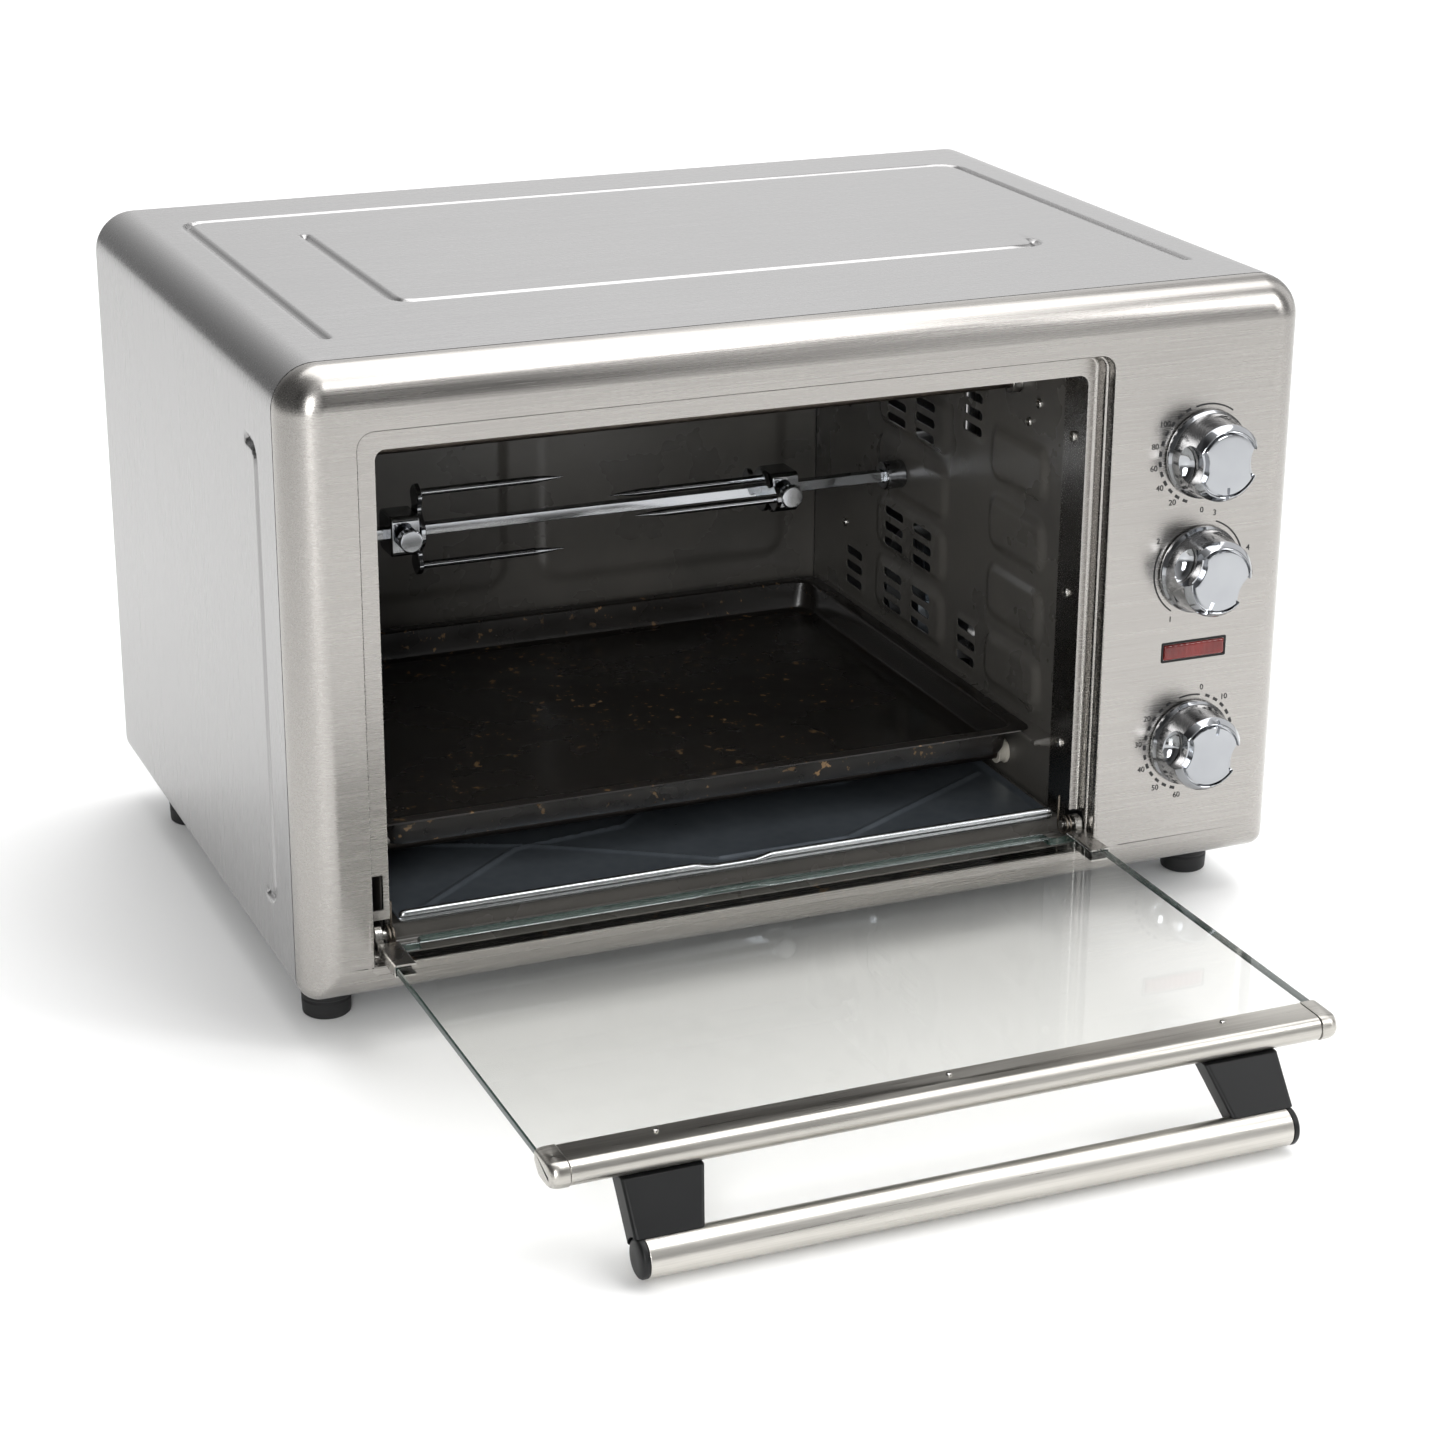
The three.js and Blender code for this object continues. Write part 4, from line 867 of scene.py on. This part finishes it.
HUB_HALF = 11
TINE_STEP = 20
for side, x, inward, upright in (("left", -146, 1, True), ("right", 71, -1, False)):
    hub_face = (SPIT_Y - HUB_HALF, SPIT_Y + HUB_HALF, SPIT_Z - HUB_HALF, SPIT_Z + HUB_HALF)
    hub = outward(skin("hub", [
        [(x + dx, y, z) for y, z in corner_loop(*shrunk(hub_face, t), 3.2)]
        for dx, t in ((-8, 1), (-7.6, 0.3), (-7, 0), (7, 0), (7.6, 0.3), (8, 1))], caps=True))
    bar = outward(skin("plate", [
        [(x + inward * dx, SPIT_Y + (a if upright else b), SPIT_Z + (b if upright else a))
         for a, b in lobed_outline(t)]
        for dx, t in ((8.1, 0.5), (8.5, 0), (10.5, 0), (10.9, 0.5))], caps=True))
    tines = []
    for step in (-TINE_STEP, TINE_STEP):
        y = SPIT_Y + (0 if upright else step)
        z = SPIT_Z + (step if upright else 0)
        tines.append(lathe("tine", [
            (10.6, 2.0), (74, 2.0), (80, 1.6), (86, 0.9), (91, 0.3), (91.8, 0.05)],
            "x" if inward > 0 else "-x", (x, y, z), 20))
    cut_with(hub, square_bar("cutter", x - 30, x + 30, 3.3, 0.3),
             lathe("cutter", [(0, 2.5), (12, 2.5)], "y", (x, SPIT_Y - 12, SPIT_Z), 24))
    cut_with(bar, square_bar("cutter", x - 30, x + 30, 3.3, 0.3))
    merge(hub, bar, *tines)
    hub.name = f"fork_{side}"
    settle(hub, f"{side}_fork", chrome, [f"spit_fork_{side}"])
    screw = lathe(f"clamp_screw_{side}", [
        (0, 5.2), (0.4, 6.0), (1.0, 6.5), (5.0, 6.5), (5.6, 6.0), (6.0, 3.4), (8.6, 3.4),
        (9, 2.2), (17.6, 2.2)], "y", (x, SPIT_Y - 21, SPIT_Z), 60)
    # The knurl: every third row of points round the head is drawn in.
    work = bmesh.new()
    work.from_mesh(screw.data)
    axis_at = place(x, 0, SPIT_Z)
    for vert in work.verts:
        dx, dz = vert.co.x - axis_at.x, vert.co.z - axis_at.z
        turn = round(math.atan2(dz, dx) / (2 * math.pi) * 60)
        if math.hypot(dx, dz) > 0.0062 and turn % 3 == 0:
            vert.co.x, vert.co.z = axis_at.x + dx * 0.91, axis_at.z + dz * 0.91
    work.to_mesh(screw.data)
    work.free()
    settle(screw, f"{side}_thumbscrew", chrome, [f"fork_thumbscrew_{side}"])

# ------------------------------------------------------------------ works behind the control panel
# Motors, fan and switches that the wrap hides: plated cans, an aluminised fan, phenolic bodies.
# The fan is a pale grey aluminised steel; the switch bodies are matt cream phenolic.
aluminised = plated_steel("aluminised_steel", "#a9b0b7", "#7f868d", 0.32)
phenolic = moulded("cream_phenolic", "#cfc6b2", 0.5, 1.5, 0.05)
for node in ("rotisserie_gearmotor", "fan_motor", "timer_body", "fan_housing"):
    dress(node, zinc)
dress("convection_fan", aluminised)
for node in ("thermostat_body", "function_switch_body"):
    dress(node, phenolic)

# ------------------------------------------------------------------ control panel
# Chromed zinc knobs with two finger scoops and a pointer ridge; printed scales of black enamel
# ink round each, and a red polycarbonate lamp lens in a black frame.
CONTROL_X = 208.5
TEMPERATURE_Z = 250
FUNCTION_Z = 189.5
TIMER_Z = 95.5
LAMP = (190.8, 226.2, 141.8, 150.2)
# Each scoop is a round-bottomed bite from the side, so the front is waisted.
SCOOP_REACH = 27.5
SCOOP_RADIUS = 14
SCOOP = [(8.5, 0.1), (8.8, 4), (9.8, 8), (11.6, 11.4), (14, 13.4), (16.5, SCOOP_RADIUS),
         (27, SCOOP_RADIUS)]
PLATE_RADIUS = 15.6
PLATE_WAIST = 16.1


def face_outline():
    """The waisted front plate of a knob: round at top and bottom, hollow at the sides."""
    meet_x = (SCOOP_REACH ** 2 + PLATE_RADIUS ** 2 - PLATE_WAIST ** 2) / (2 * SCOOP_REACH)
    meet_z = math.sqrt(PLATE_RADIUS ** 2 - meet_x ** 2)
    corner = math.degrees(math.atan2(meet_z, meet_x))
    outline = []
    for side in (1, -1):
        for i in range(17):
            height = (1 - i / 8) * meet_z * side
            hollow = SCOOP_REACH - math.sqrt(PLATE_WAIST ** 2 - height ** 2)
            outline.append((hollow * side, height))
        start = -corner if side > 0 else 180 - corner
        for i in range(1, 24):
            angle = math.radians(start - (180 - 2 * corner) * i / 24)
            outline.append((PLATE_RADIUS * math.cos(angle), PLATE_RADIUS * math.sin(angle)))
    return outline


def turn_about_y(piece, centre, degrees):
    """Turns a mesh about the y axis through a point."""
    pivot = Matrix.Translation(place(*centre))
    piece.data.transform(pivot @ Matrix.Rotation(math.radians(degrees), 4, "Y") @ pivot.inverted())
    return piece


for name, z, pointer in (("temperature", TEMPERATURE_Z, 180), ("function", FUNCTION_Z, 205),
                         ("timer", TIMER_Z, 12)):
    at = (CONTROL_X, 0, z)
    knob = lathe(f"{name}_knob_cap", [
        (0.8, 19), (0.8, 22.4), (1.1, 22.9), (1.7, 23), (3.0, 22.8), (4.2, 21.9), (5.2, 21.2),
        (8, 20.8), (14, 20.3), (19.4, 19.9), (20.0, 19.7), (22.8, 17.6), (23.3, 17.1),
        (23.4, 16.8), (23.2, 16.5), (21.4, 16.4), (21.4, 0.3)], "-y", at, 96)
    face_plate = outward(skin("face", [
        [(CONTROL_X + x * k, y, z + h * k) for x, h in face_outline()] for y, k in (
            (-21.0, 1), (-23.4, 1), (-23.75, 0.975), (-23.9, 0.9), (-24.0, 0.7), (-24.1, 0.2))],
        caps=True))
    cut_with(knob, *[lathe("cutter", SCOOP, "-y", (CONTROL_X + s * SCOOP_REACH, 0, z), 96)
                     for s in (-1, 1)])
    # The pointer is a notch through the cap's rim and into the front plate.
    for piece, behind, low, high in ((knob, -20.9, 15, 24), (face_plate, -22.6, 11.5, 17)):
        cut_with(piece, box_cutter(CONTROL_X - 1.0, CONTROL_X + 1.0, -25, behind,
                                   z + low, z + high))
    shaft = lathe("shaft", [(-15, 2.6), (-14.6, 3), (2, 3)], "-y", at, 28)
    merge(knob, face_plate, shaft)
    turn_about_y(knob, at, pointer)
    settle(knob, f"{name}_control", chrome, [f"{name}_knob"], sharp=28)

# Enamel ink is opaque and dull, so the scales stay dark where the steel beside them shines.
ink = moulded("black_enamel_ink", "#1b1b1c", 0.45, 0.6, 0.01)
PRINT_Y = -0.12


def printed_arc(name, z, radius, start, end, width):
    """A thin printed arc, angles clockwise from twelve as seen from the front."""
    steps = max(4, int(abs(end - start) / 4))
    rings = []
    for r in (radius - width / 2, radius + width / 2):
        ring = []
        for i in range(steps + 1):
            angle = math.radians(start + (end - start) * i / steps)
            ring.append((CONTROL_X + r * math.sin(angle), PRINT_Y, z + r * math.cos(angle)))
        rings.append(ring)
    return skin(name, rings, closed=False)


def printed_number(text, z, radius, angle, height):
    """A small printed number centred on the scale circle."""
    curve = bpy.data.curves.new("number", "FONT")
    curve.body = text
    curve.size = height / 1000
    curve.align_x = "CENTER"
    curve.align_y = "CENTER"
    source = bpy.data.objects.new("number", curve)
    bpy.context.scene.collection.objects.link(source)
    mesh = bpy.data.meshes.new_from_object(
        source.evaluated_get(bpy.context.evaluated_depsgraph_get()))
    bpy.data.objects.remove(source)
    turn = math.radians(angle)
    spot = place(CONTROL_X + radius * math.sin(turn), PRINT_Y, z + radius * math.cos(turn))
    mesh.transform(Matrix.Translation(spot) @ Matrix.Rotation(math.pi / 2, 4, "X"))
    piece = bpy.data.objects.new("number", mesh)
    bpy.context.scene.collection.objects.link(piece)
    return piece


scales = (("temperature", TEMPERATURE_Z, ((200, 340, "dash"), (345, 395, "arc")),
           (("0", 180), ("20", 216), ("40", 238), ("60", 260), ("80", 282), ("100", 306))),
          ("function", FUNCTION_Z, ((215, 300, "arc"), (20, 70, "arc"), (90, 140, "dash")),
           (("1", 210), ("2", 305), ("3", 15), ("4", 75))),
          ("timer", TIMER_Z, ((195, 330, "dash"), (345, 372, "arc"), (20, 150, "dash")),
           (("0", 12), ("10", 42), ("60", 190), ("50", 218), ("40", 246), ("30", 274),
            ("20", 302))))
for name, z, spans, numbers in scales:
    parts = []
    for start, end, kind in spans:
        if kind == "arc":
            parts.append(printed_arc("arc", z, 25.6, start, end, 0.8))
        else:
            for angle in range(start, end, 12):
                parts.append(printed_arc("dash", z, 25.8, angle, angle + 6, 1.5))
    for text, angle in numbers:
        parts.append(printed_number(text, z, 29.6, angle, 4.2))
    print_layer = merge(parts[0], *parts[1:])
    print_layer.name = f"{name}_scale"
    modify(print_layer, "SOLIDIFY", thickness=0.0001, offset=1)
    settle(print_layer, "oven_body", ink)

lens_rings = []
for t, y in ((1.6, -1.15), (0.9, -1.0), (0.35, -0.6), (0.1, 0), (0, 0.8), (0, 5)):
    loop = corner_loop(*shrunk(LAMP, t), 0.9, steps=4)
    lens_rings.append([(x, y, z) for x, z in loop])
lens = outward(skin("lamp_lens", lens_rings, caps=True))
# Glossy red plastic, deep and dark while the lamp is off, with fine ribs moulded across it.
red_lens, tree, shader, where = new_material("red_polycarbonate")
facets = add_node(tree, "ShaderNodeTexWave", {"Scale": 95.0, "Distortion": 0.0, "Vector": where})
feed(tree, shader, {
    "Base Color": two_tone(tree, "#2c0504", "#8f130b", noise(tree, where, 60.0, 1.0)),
    "Normal": bump(tree, facets.outputs["Fac"], 0.25, 0.0004),
    "Roughness": 0.14, "Coat Weight": 0.2})
settle(lens, "oven_body", red_lens, ["power_lamp_lens"])
frame_rings = []
for grow, y in ((0.05, 0.5), (0.05, -0.25), (0.25, -0.42), (1.0, -0.42), (1.2, -0.2), (1.2, 0)):
    loop = corner_loop(*shrunk(LAMP, -grow), 0.9, steps=4)
    frame_rings.append([(x, y, z) for x, z in loop])
surround_ring = face_front(skin("lamp_frame", frame_rings),
                           lambda faces: sum(f.normal.y for f in faces) < 0)
settle(surround_ring, "oven_body", charcoal_nylon)
dress("power_lamp_holder", charcoal_nylon)

# ------------------------------------------------------------------ door
# One pane of tempered glass, drawn lying open. Folded brackets grip its inner corners and turn on
# steel pins with torsion springs; a brushed stainless rail and end clips cap its outer edge.
GLASS_Z = (48, 52)
glass_outline = [(-227.5, -226), (-226, -227.6), (150, -227.6), (151.5, -226), (151.5, 3), (133, 3),
                 (131.5, 4.5), (131.5, 8.5), (130, 10), (-206, 10), (-207.5, 8.5), (-207.5, 4.5),
                 (-209, 3), (-227.5, 3)]


def inset_outline(outline, amount):
    """A closed outline moved inwards by an amount (anticlockwise outline)."""
    moved = []
    count = len(outline)
    for i, here in enumerate(outline):
        before = Vector(outline[i - 1])
        after = Vector(outline[(i + 1) % count])
        here = Vector(here)
        first = (here - before).normalized()
        second = (after - here).normalized()
        normal_a = Vector((-first.y, first.x))
        normal_b = Vector((-second.y, second.x))
        mitre = (normal_a + normal_b).normalized()
        reach = amount / max(mitre.dot(normal_a), 0.3)
        moved.append(tuple(here + mitre * reach))
    return moved


glass_rings = [[(x, y, z) for x, y in inset_outline(glass_outline, t)]
               for t, z in ((0.7, GLASS_Z[0]), (0.15, GLASS_Z[0] + 0.5), (0, GLASS_Z[0] + 0.9),
                            (0, GLASS_Z[1] - 0.9), (0.15, GLASS_Z[1] - 0.5), (0.7, GLASS_Z[1]))]
glass = outward(skin("door_pane", glass_rings, caps=True))
# Clear glass: what lies below shows through, and slanting views bring up the room's reflection,
# very slightly hazed by wiping.
clear_glass = bpy.data.materials.new("clear_tempered_glass")
clear_glass.use_nodes = True
tree = clear_glass.node_tree
tree.nodes.clear()
where = add_node(tree, "ShaderNodeTexCoord").outputs["Object"]
haze = spread(tree, noise(tree, where, 9.0, 4.0), 0.01, 0.05, 0.35, 0.75)
through = add_node(tree, "ShaderNodeBsdfTransparent", {"Color": linear("#fcfcfb")})
sheen = add_node(tree, "ShaderNodeBsdfPrincipled", {
    "Base Color": linear("#eef1f0"), "Metallic": 1.0, "Roughness": haze})
rim_light = add_node(tree, "ShaderNodeFresnel", {"IOR": 1.52})
# Light that has entered the pane leaves it freely, so only outward faces mirror the room. Each
# outward face stands for both surfaces of the pane.
inside = add_node(tree, "ShaderNodeNewGeometry").outputs["Backfacing"]
share = add_node(tree, "ShaderNodeMath", {
    "operation": "MULTIPLY", "use_clamp": True, 0: rim_light.outputs[0],
    1: spread(tree, inside, 1.5, 0.0)})
blend = add_node(tree, "ShaderNodeMixShader", {
    0: share.outputs[0], 1: through.outputs[0], 2: sheen.outputs[0]})
add_node(tree, "ShaderNodeOutputMaterial", {"Surface": blend.outputs[0]})
# The ground edge scatters light, so it outlines the pane in a dark, milky green.
glass_edge, tree, shader, where = new_material("ground_glass_edge")
milky = noise(tree, where, 300.0, 2.0)
feed(tree, shader, {"Base Color": two_tone(tree, "#16211e", "#40544e", milky), "Roughness": 0.18})
settle(glass, "door", clear_glass, ["door_glass"])
glass.data.materials.append(glass_edge)
for face in glass.data.polygons:
    if abs(face.normal.z) < 0.9:
        face.material_index = 1

RAIL_INNER = -216
DOOR_END = -236
RAIL_HIGH = 53.4
RAIL_LOW = 41.9
# Satin stainless: finer lines than the panels, and painted paler as a painted highlight, so the
# rail reads as a bright edge.
trim_steel_painted_highlight = brushed_stainless("satin_stainless_trim", "#c9c6c0", "#a5a29c", (12, 900, 900),
                               (0.24, 0.36))
NOSE = 5.2


def rail_section(grow):
    """The rail's section from its inner top edge over the nose to its inner lower edge."""
    middle, half = (RAIL_HIGH + RAIL_LOW) / 2, (RAIL_HIGH - RAIL_LOW) / 2
    section = [(RAIL_INNER + grow, RAIL_HIGH + grow - 0.5),
               (RAIL_INNER + grow - 0.3, RAIL_HIGH + grow)]
    for i in range(13):
        angle = math.pi / 2 + math.pi * i / 12
        section.append((DOOR_END + NOSE - grow + NOSE * math.cos(angle),
                        middle + (half + grow) * math.sin(angle)))
    section += [(RAIL_INNER - 5.4, RAIL_LOW - grow), (RAIL_INNER - 4.6, RAIL_LOW - grow + 0.3),
                (RAIL_INNER + grow - 0.2, RAIL_LOW + 4.0), (RAIL_INNER + grow, RAIL_LOW + 4.6)]
    return section


def rail_length(name, spans, grow, glass_from, glass_to):
    """A length of rail with the glass slot cut in it; spans are (x, inset) pairs."""
    rings = []
    for x, inset in spans:
        rings.append([(x, y + (inset if y < -225 else 0), z + math.copysign(inset / 2, 47.6 - z))
                      for y, z in rail_section(grow)])
    rail = outward(skin(name, rings, caps=True))
    return cut_with(rail, box_cutter(glass_from, glass_to, -227.8, RAIL_INNER + 6,
                                     GLASS_Z[0] - 0.25, GLASS_Z[1] + 0.25))


rail = rail_length("rail_trim", [(-219.2, 0.2), (-218.9, 0), (142.9, 0), (143.2, 0.2)], 0,
                   -226, 150)
settle(rail, "door", trim_steel_painted_highlight, ["door_rail"])
for side, spans, glass_from, glass_to in (
        ("left", [(-228.5, 3.3), (-228.1, 2.1), (-227.4, 1.2), (-226.4, 0.55), (-225, 0.15),
                  (-223.5, 0), (-219.8, 0), (-219.5, 0.3)], -227.8, -218),
        ("right", [(143.5, 0.3), (143.8, 0), (147.5, 0), (149, 0.15), (150.4, 0.55), (151.4, 1.2),
                   (152.1, 2.1), (152.5, 3.3)], 142, 151.8)):
    clip = rail_length(f"rail_end_{side}", spans, 0.3, glass_from, glass_to)
    settle(clip, "door", trim_steel_painted_highlight, [f"rail_clip_{side}"])
for i, x in enumerate((-176, -38, 100)):
    cross_screw(f"rail_screw_{i + 1}", (x, -220.5, RAIL_HIGH), "z", 1.5, "door", bright_zinc)
BAR_AT = (0, -250, 12)
BAR_RADIUS = 9
BAR_BORE = 7.5
BAR_LEFT = -197
BAR_RIGHT = 121
# The bar is painted the palest steel, a painted highlight for its round face, which always turns
# some of itself to the light.
bar_steel_painted_highlight = brushed_stainless("satin_stainless_bar_painted_highlight", "#dad7d1", "#b4b1ab", (14, 900, 900),
                              (0.24, 0.38))
tube = lathe("handle_tube", [
    (BAR_LEFT + 4.1, 7.6), (BAR_LEFT + 4.1, 8.8), (BAR_LEFT + 4.4, BAR_RADIUS),
    (BAR_RIGHT - 4.4, BAR_RADIUS), (BAR_RIGHT - 4.1, 8.8), (BAR_RIGHT - 4.1, 7.6)],
    "x", BAR_AT, 56)
cut_with(tube, lathe("cutter", [(BAR_LEFT - 2, BAR_BORE), (BAR_RIGHT + 2, BAR_BORE)],
                     "x", BAR_AT, 40))
settle(tube, "door", bar_steel_painted_highlight, ["handle_bar"])
for side, end, axis in (("left", BAR_LEFT, "x"), ("right", BAR_RIGHT, "-x")):
    cap = lathe(f"bar_end_{side}", [
        (0, 3), (0.05, 5.5), (0.4, 7.4), (1.0, 8.5), (1.8, BAR_RADIUS), (3.7, BAR_RADIUS),
        (3.75, 7.1), (12, 7.1)], axis, (end, *BAR_AT[1:]), 48)
    settle(cap, "door", charcoal_nylon, [f"handle_cap_{side}"])
    inward = 1 if side == "left" else -1
    post_rings = []
    for share, t in ((0, 0.5), (0.015, 0), (0.25, 0), (0.5, 0), (0.75, 0), (0.985, 0), (1, 0.5)):
        width = 29 + 9 * share
        y0 = -258 + (-235 + 258) * share
        y1 = -242 + (-219 + 242) * share
        x0, x1 = sorted((end, end + inward * width))
        z = 12 + 29.6 * share
        loop = corner_loop(x0 + t, x1 - t, y0 + t, y1 - t, 2.2, steps=5)
        post_rings.append([(x, y, z) for x, y in loop])
    post = outward(skin(f"handle_leg_{side}", post_rings, caps=True))
    cut_with(post, lathe("cutter", [(BAR_LEFT - 8, BAR_RADIUS + 0.25),
                                    (BAR_RIGHT + 8, BAR_RADIUS + 0.25)], "x", BAR_AT, 56))
    settle(post, "door", charcoal_nylon, [f"handle_post_{side}"])


def swept_wire(name, path, radius, sides=12):
    """A round wire along a path of points, carried without twist."""
    path = [Vector(p) for p in path]
    side = None
    rings = []
    for i, here in enumerate(path):
        along = (path[min(i + 1, len(path) - 1)] - path[max(i - 1, 0)]).normalized()
        side = along.orthogonal() if side is None else side - along * side.dot(along)
        side.normalize()
        other = along.cross(side)
        rings.append([tuple(here + radius * (
            side * math.cos(2 * math.pi * k / sides) + other * math.sin(2 * math.pi * k / sides)))
            for k in range(sides)])
    return outward(skin(name, rings, caps=True))


HINGE_Y = 12
HINGE_Z = 54
HINGE_AXIS = (0, HINGE_Y, HINGE_Z)
COIL_RADIUS = 4.4
COIL_STEPS = 32
for side, edge, inward, wall, leg_x in (("left", -228.5, 1, -232, -218),
                                        ("right", 152.5, -1, 156, 143.2)):
    x0, x1 = sorted((edge, edge + 11 * inward))
    sleeve = outward(skin("sleeve", [
        [(x, y, z) for x, z in corner_loop(x0, x1, 46.8, 53.2, 1.2, steps=4)]
        for y in (4, 3.6, -21.6, -22)], caps=True))
    slot0, slot1 = sorted((edge + 0.7 * inward, edge + 18 * inward))
    cut_with(sleeve, box_cutter(slot0, slot1, -34, 3.4, 47.7, 52.3))
    eye0, eye1 = sorted((edge, edge + 4 * inward))
    eye = lathe("eye", [(eye0, 4.6), (eye0 + 0.3, 5), (eye1 - 0.3, 5), (eye1, 4.6)], "x",
                HINGE_AXIS, 32)
    cut_with(eye, lathe("cutter", [(eye0 - 2, 2.75), (eye1 + 2, 2.75)], "x", HINGE_AXIS, 28))
    arm = outward(skin("arm", [
        [(x, y, z) for x, z in corner_loop(eye0 + 0.02, eye1 - 0.02, 47.4, 53.0, 0.6, steps=3)]
        for y in (9, 3.2)], caps=True))
    merge(sleeve, eye, arm)
    sleeve.name = f"hinge_arm_{side}"
    settle(sleeve, "door", bright_zinc, [f"hinge_bracket_{side}"])
    pin = lathe(f"hinge_pivot_{side}", [
        (-4.5, 3.6), (-4.2, 4.4), (-2.0, 4.5), (-1.5, 4.2), (-1.5, 2.5), (13.6, 2.5), (14, 2.1)],
        "x" if inward > 0 else "-x", (wall, HINGE_Y, HINGE_Z), 28)
    settle(pin, "oven_body", bright_zinc, [f"hinge_pin_{side}"])
    wire = [(leg_x, HINGE_Y + COIL_RADIUS, HINGE_Z + 15 - i * 1.5) for i in range(10)]
    for i in range(1, 2 * COIL_STEPS + 1):
        angle = 2 * math.pi * i / COIL_STEPS
        wire.append((leg_x - inward * i / COIL_STEPS * 1.9, HINGE_Y + COIL_RADIUS * math.cos(angle),
                     HINGE_Z - COIL_RADIUS * math.sin(angle)))
    spring = swept_wire(f"hinge_coil_{side}", wire, 0.68)
    settle(spring, "oven_body", spring_steel, [f"hinge_spring_{side}"])

# ------------------------------------------------------------------ drip pan
# Pressed steel pan in black enamel, hung by its rolled rim on the wall ledges, spotted with fat.
# Darker and glossier than the walls, with tan flecks of fat that stand out on it.
pan_enamel = enamel("black_enamel_used_pan", "#151413", "#262320", 0.17, grease=0.8)
PAN = (-216, 145, 50, 330)
pan_rings = []
for t, z, radius in ((0.5, 92.85, 8), (0, 93.3, 8), (0.25, 93.8, 8), (0.9, 94, 8), (6.4, 94, 8),
                     (7.6, 93.7, 8), (8.4, 92.8, 8), (9.2, 86, 9), (9.8, 81, 9.5), (10.6, 79, 9.5),
                     (12.2, 78.3, 9), (15, 78.2, 8), (16, 78.2, 8), (19, 78.9, 8), (21, 79.1, 8)):
    loop = corner_loop(*shrunk(PAN, t), radius, steps=7)
    pan_rings.append([(x, y, z) for x, y in loop])
pan = skin("pan_tub", pan_rings)
base_ring = pan_rings[-1]
merge(pan, make_mesh("pan_base", base_ring, [tuple(range(len(base_ring)))]))
face_front(pan, lambda faces: max(faces, key=lambda f: f.calc_area()).normal.z > 0)
modify(pan, "SOLIDIFY", thickness=0.0009, offset=-1)
settle(pan, "pan", pan_enamel, ["drip_pan"])

# ------------------------------------------------------------------ crumb tray
# Aluminised sheet on the cavity floor: zigzag ribs, low hems, and a rolled front lip with a
# finger notch, pulled out forwards over the open door.
TRAY = (-212.5, 141.5, 21, 331)
TRAY_Z = 55.6
tray_xs = np.linspace(TRAY[0], TRAY[1], 290)
tray_ys = np.array(fine_lines(TRAY[2], TRAY[3], 3.0, [(21, 150)], 1.1))
b, a = np.meshgrid(tray_ys, tray_xs)
flat = np.stack((a.ravel(), b.ravel()), axis=1)
ribs = np.zeros(len(flat))
for line in ([(-204, 26), (-132, 84), (-70, 92), (-38, 122), (60, 104), (134, 140)],
             [(-204, 120), (-120, 84), (-40, 34), (30, 34), (134, 90)],
             [(-204, 200), (-38, 300), (134, 200)]):
    ribs = np.maximum(ribs, 1.4 * np.exp(-(path_distance(flat, line) / 1.2) ** 2))
NOTCH_X = -38
thumb = np.hypot((flat[:, 0] - NOTCH_X) / 19, (flat[:, 1] - 27) / 4.6)
ribs = ribs - 1.0 * np.clip(1.15 - thumb, 0, 1)
hem = np.minimum.reduce([flat[:, 0] - TRAY[0], TRAY[1] - flat[:, 0], TRAY[3] - flat[:, 1]])
rise = 2.3 * np.clip(1 - hem / 2.0, 0, 1)
heights = (TRAY_Z + np.where(hem > 6, ribs, 0) + rise).reshape(a.shape)
tray = sheet("tray_sheet", [[(a[i, j], b[i, j], heights[i, j]) for j in range(b.shape[1])]
                            for i in range(a.shape[0])], (0, 0, 1), 0.8)
lip_section = [(21.2, 54.9), (21.6, 57.4), (21.4, 58.2)]
for i in range(17):
    angle = math.radians(-30 + 250 * i / 16)
    lip_section.append((20.4 + 2.1 * math.cos(angle), 59.4 + 2.1 * math.sin(angle)))
for i in range(9):
    angle = math.radians(110 + 160 * i / 8)
    lip_section.append((20.2 + 0.85 * math.cos(angle), 56.4 + 1.5 * math.sin(angle)))
lip_section.append((20.4, 54.7))
lip_ends = [(TRAY[0], 0.6), (TRAY[0] + 1.0, 0.9), (TRAY[1] - 1.0, 0.9), (TRAY[1], 0.6)]
lip_middle = [(float(x), 1) for x in np.arange(TRAY[0] + 2.5, TRAY[1] - 2, 2)]
lip_rings = []
for x, ease in lip_ends[:2] + lip_middle + lip_ends[2:]:
    dip = 1.7 * math.exp(-((x - NOTCH_X) / 17) ** 6)
    lip_rings.append([(x, 20.6 + (y - 20.6) * ease,
                       57.6 + (z - 57.6) * ease - dip * max(0, (z - 57) / 4))
                      for y, z in lip_section])
lip = outward(skin("tray_lip", lip_rings, caps=True))
# The lip is painted bright, a painted highlight on the rolled bead; the sheet behind it is greyer
# and smudged unevenly.
lip_painted_highlight = brushed_stainless("rolled_tray_lip", "#c9ccce", "#b4b7b9", (14, 1300, 1300))
settle(lip, "tray", lip_painted_highlight, sharp=50)
tray_steel, tree, shader, where = new_material("rolled_aluminised_sheet")
spangle = add_node(tree, "ShaderNodeTexVoronoi", {"Scale": 160.0, "Vector": where})
smudge = noise(tree, where, 18.0, 4.0)
mixed = add_node(tree, "ShaderNodeMix", {
    "data_type": "FLOAT", 0: 0.8, 2: spangle.outputs["Distance"], 3: smudge}).outputs[0]
feed(tree, shader, {"Metallic": 0.7, "Base Color": two_tone(tree, "#575e66", "#858d95", mixed),
                    "Roughness": spread(tree, smudge, 0.22, 0.42)})
settle(tray, "tray", tray_steel, ["crumb_tray"], sharp=50)
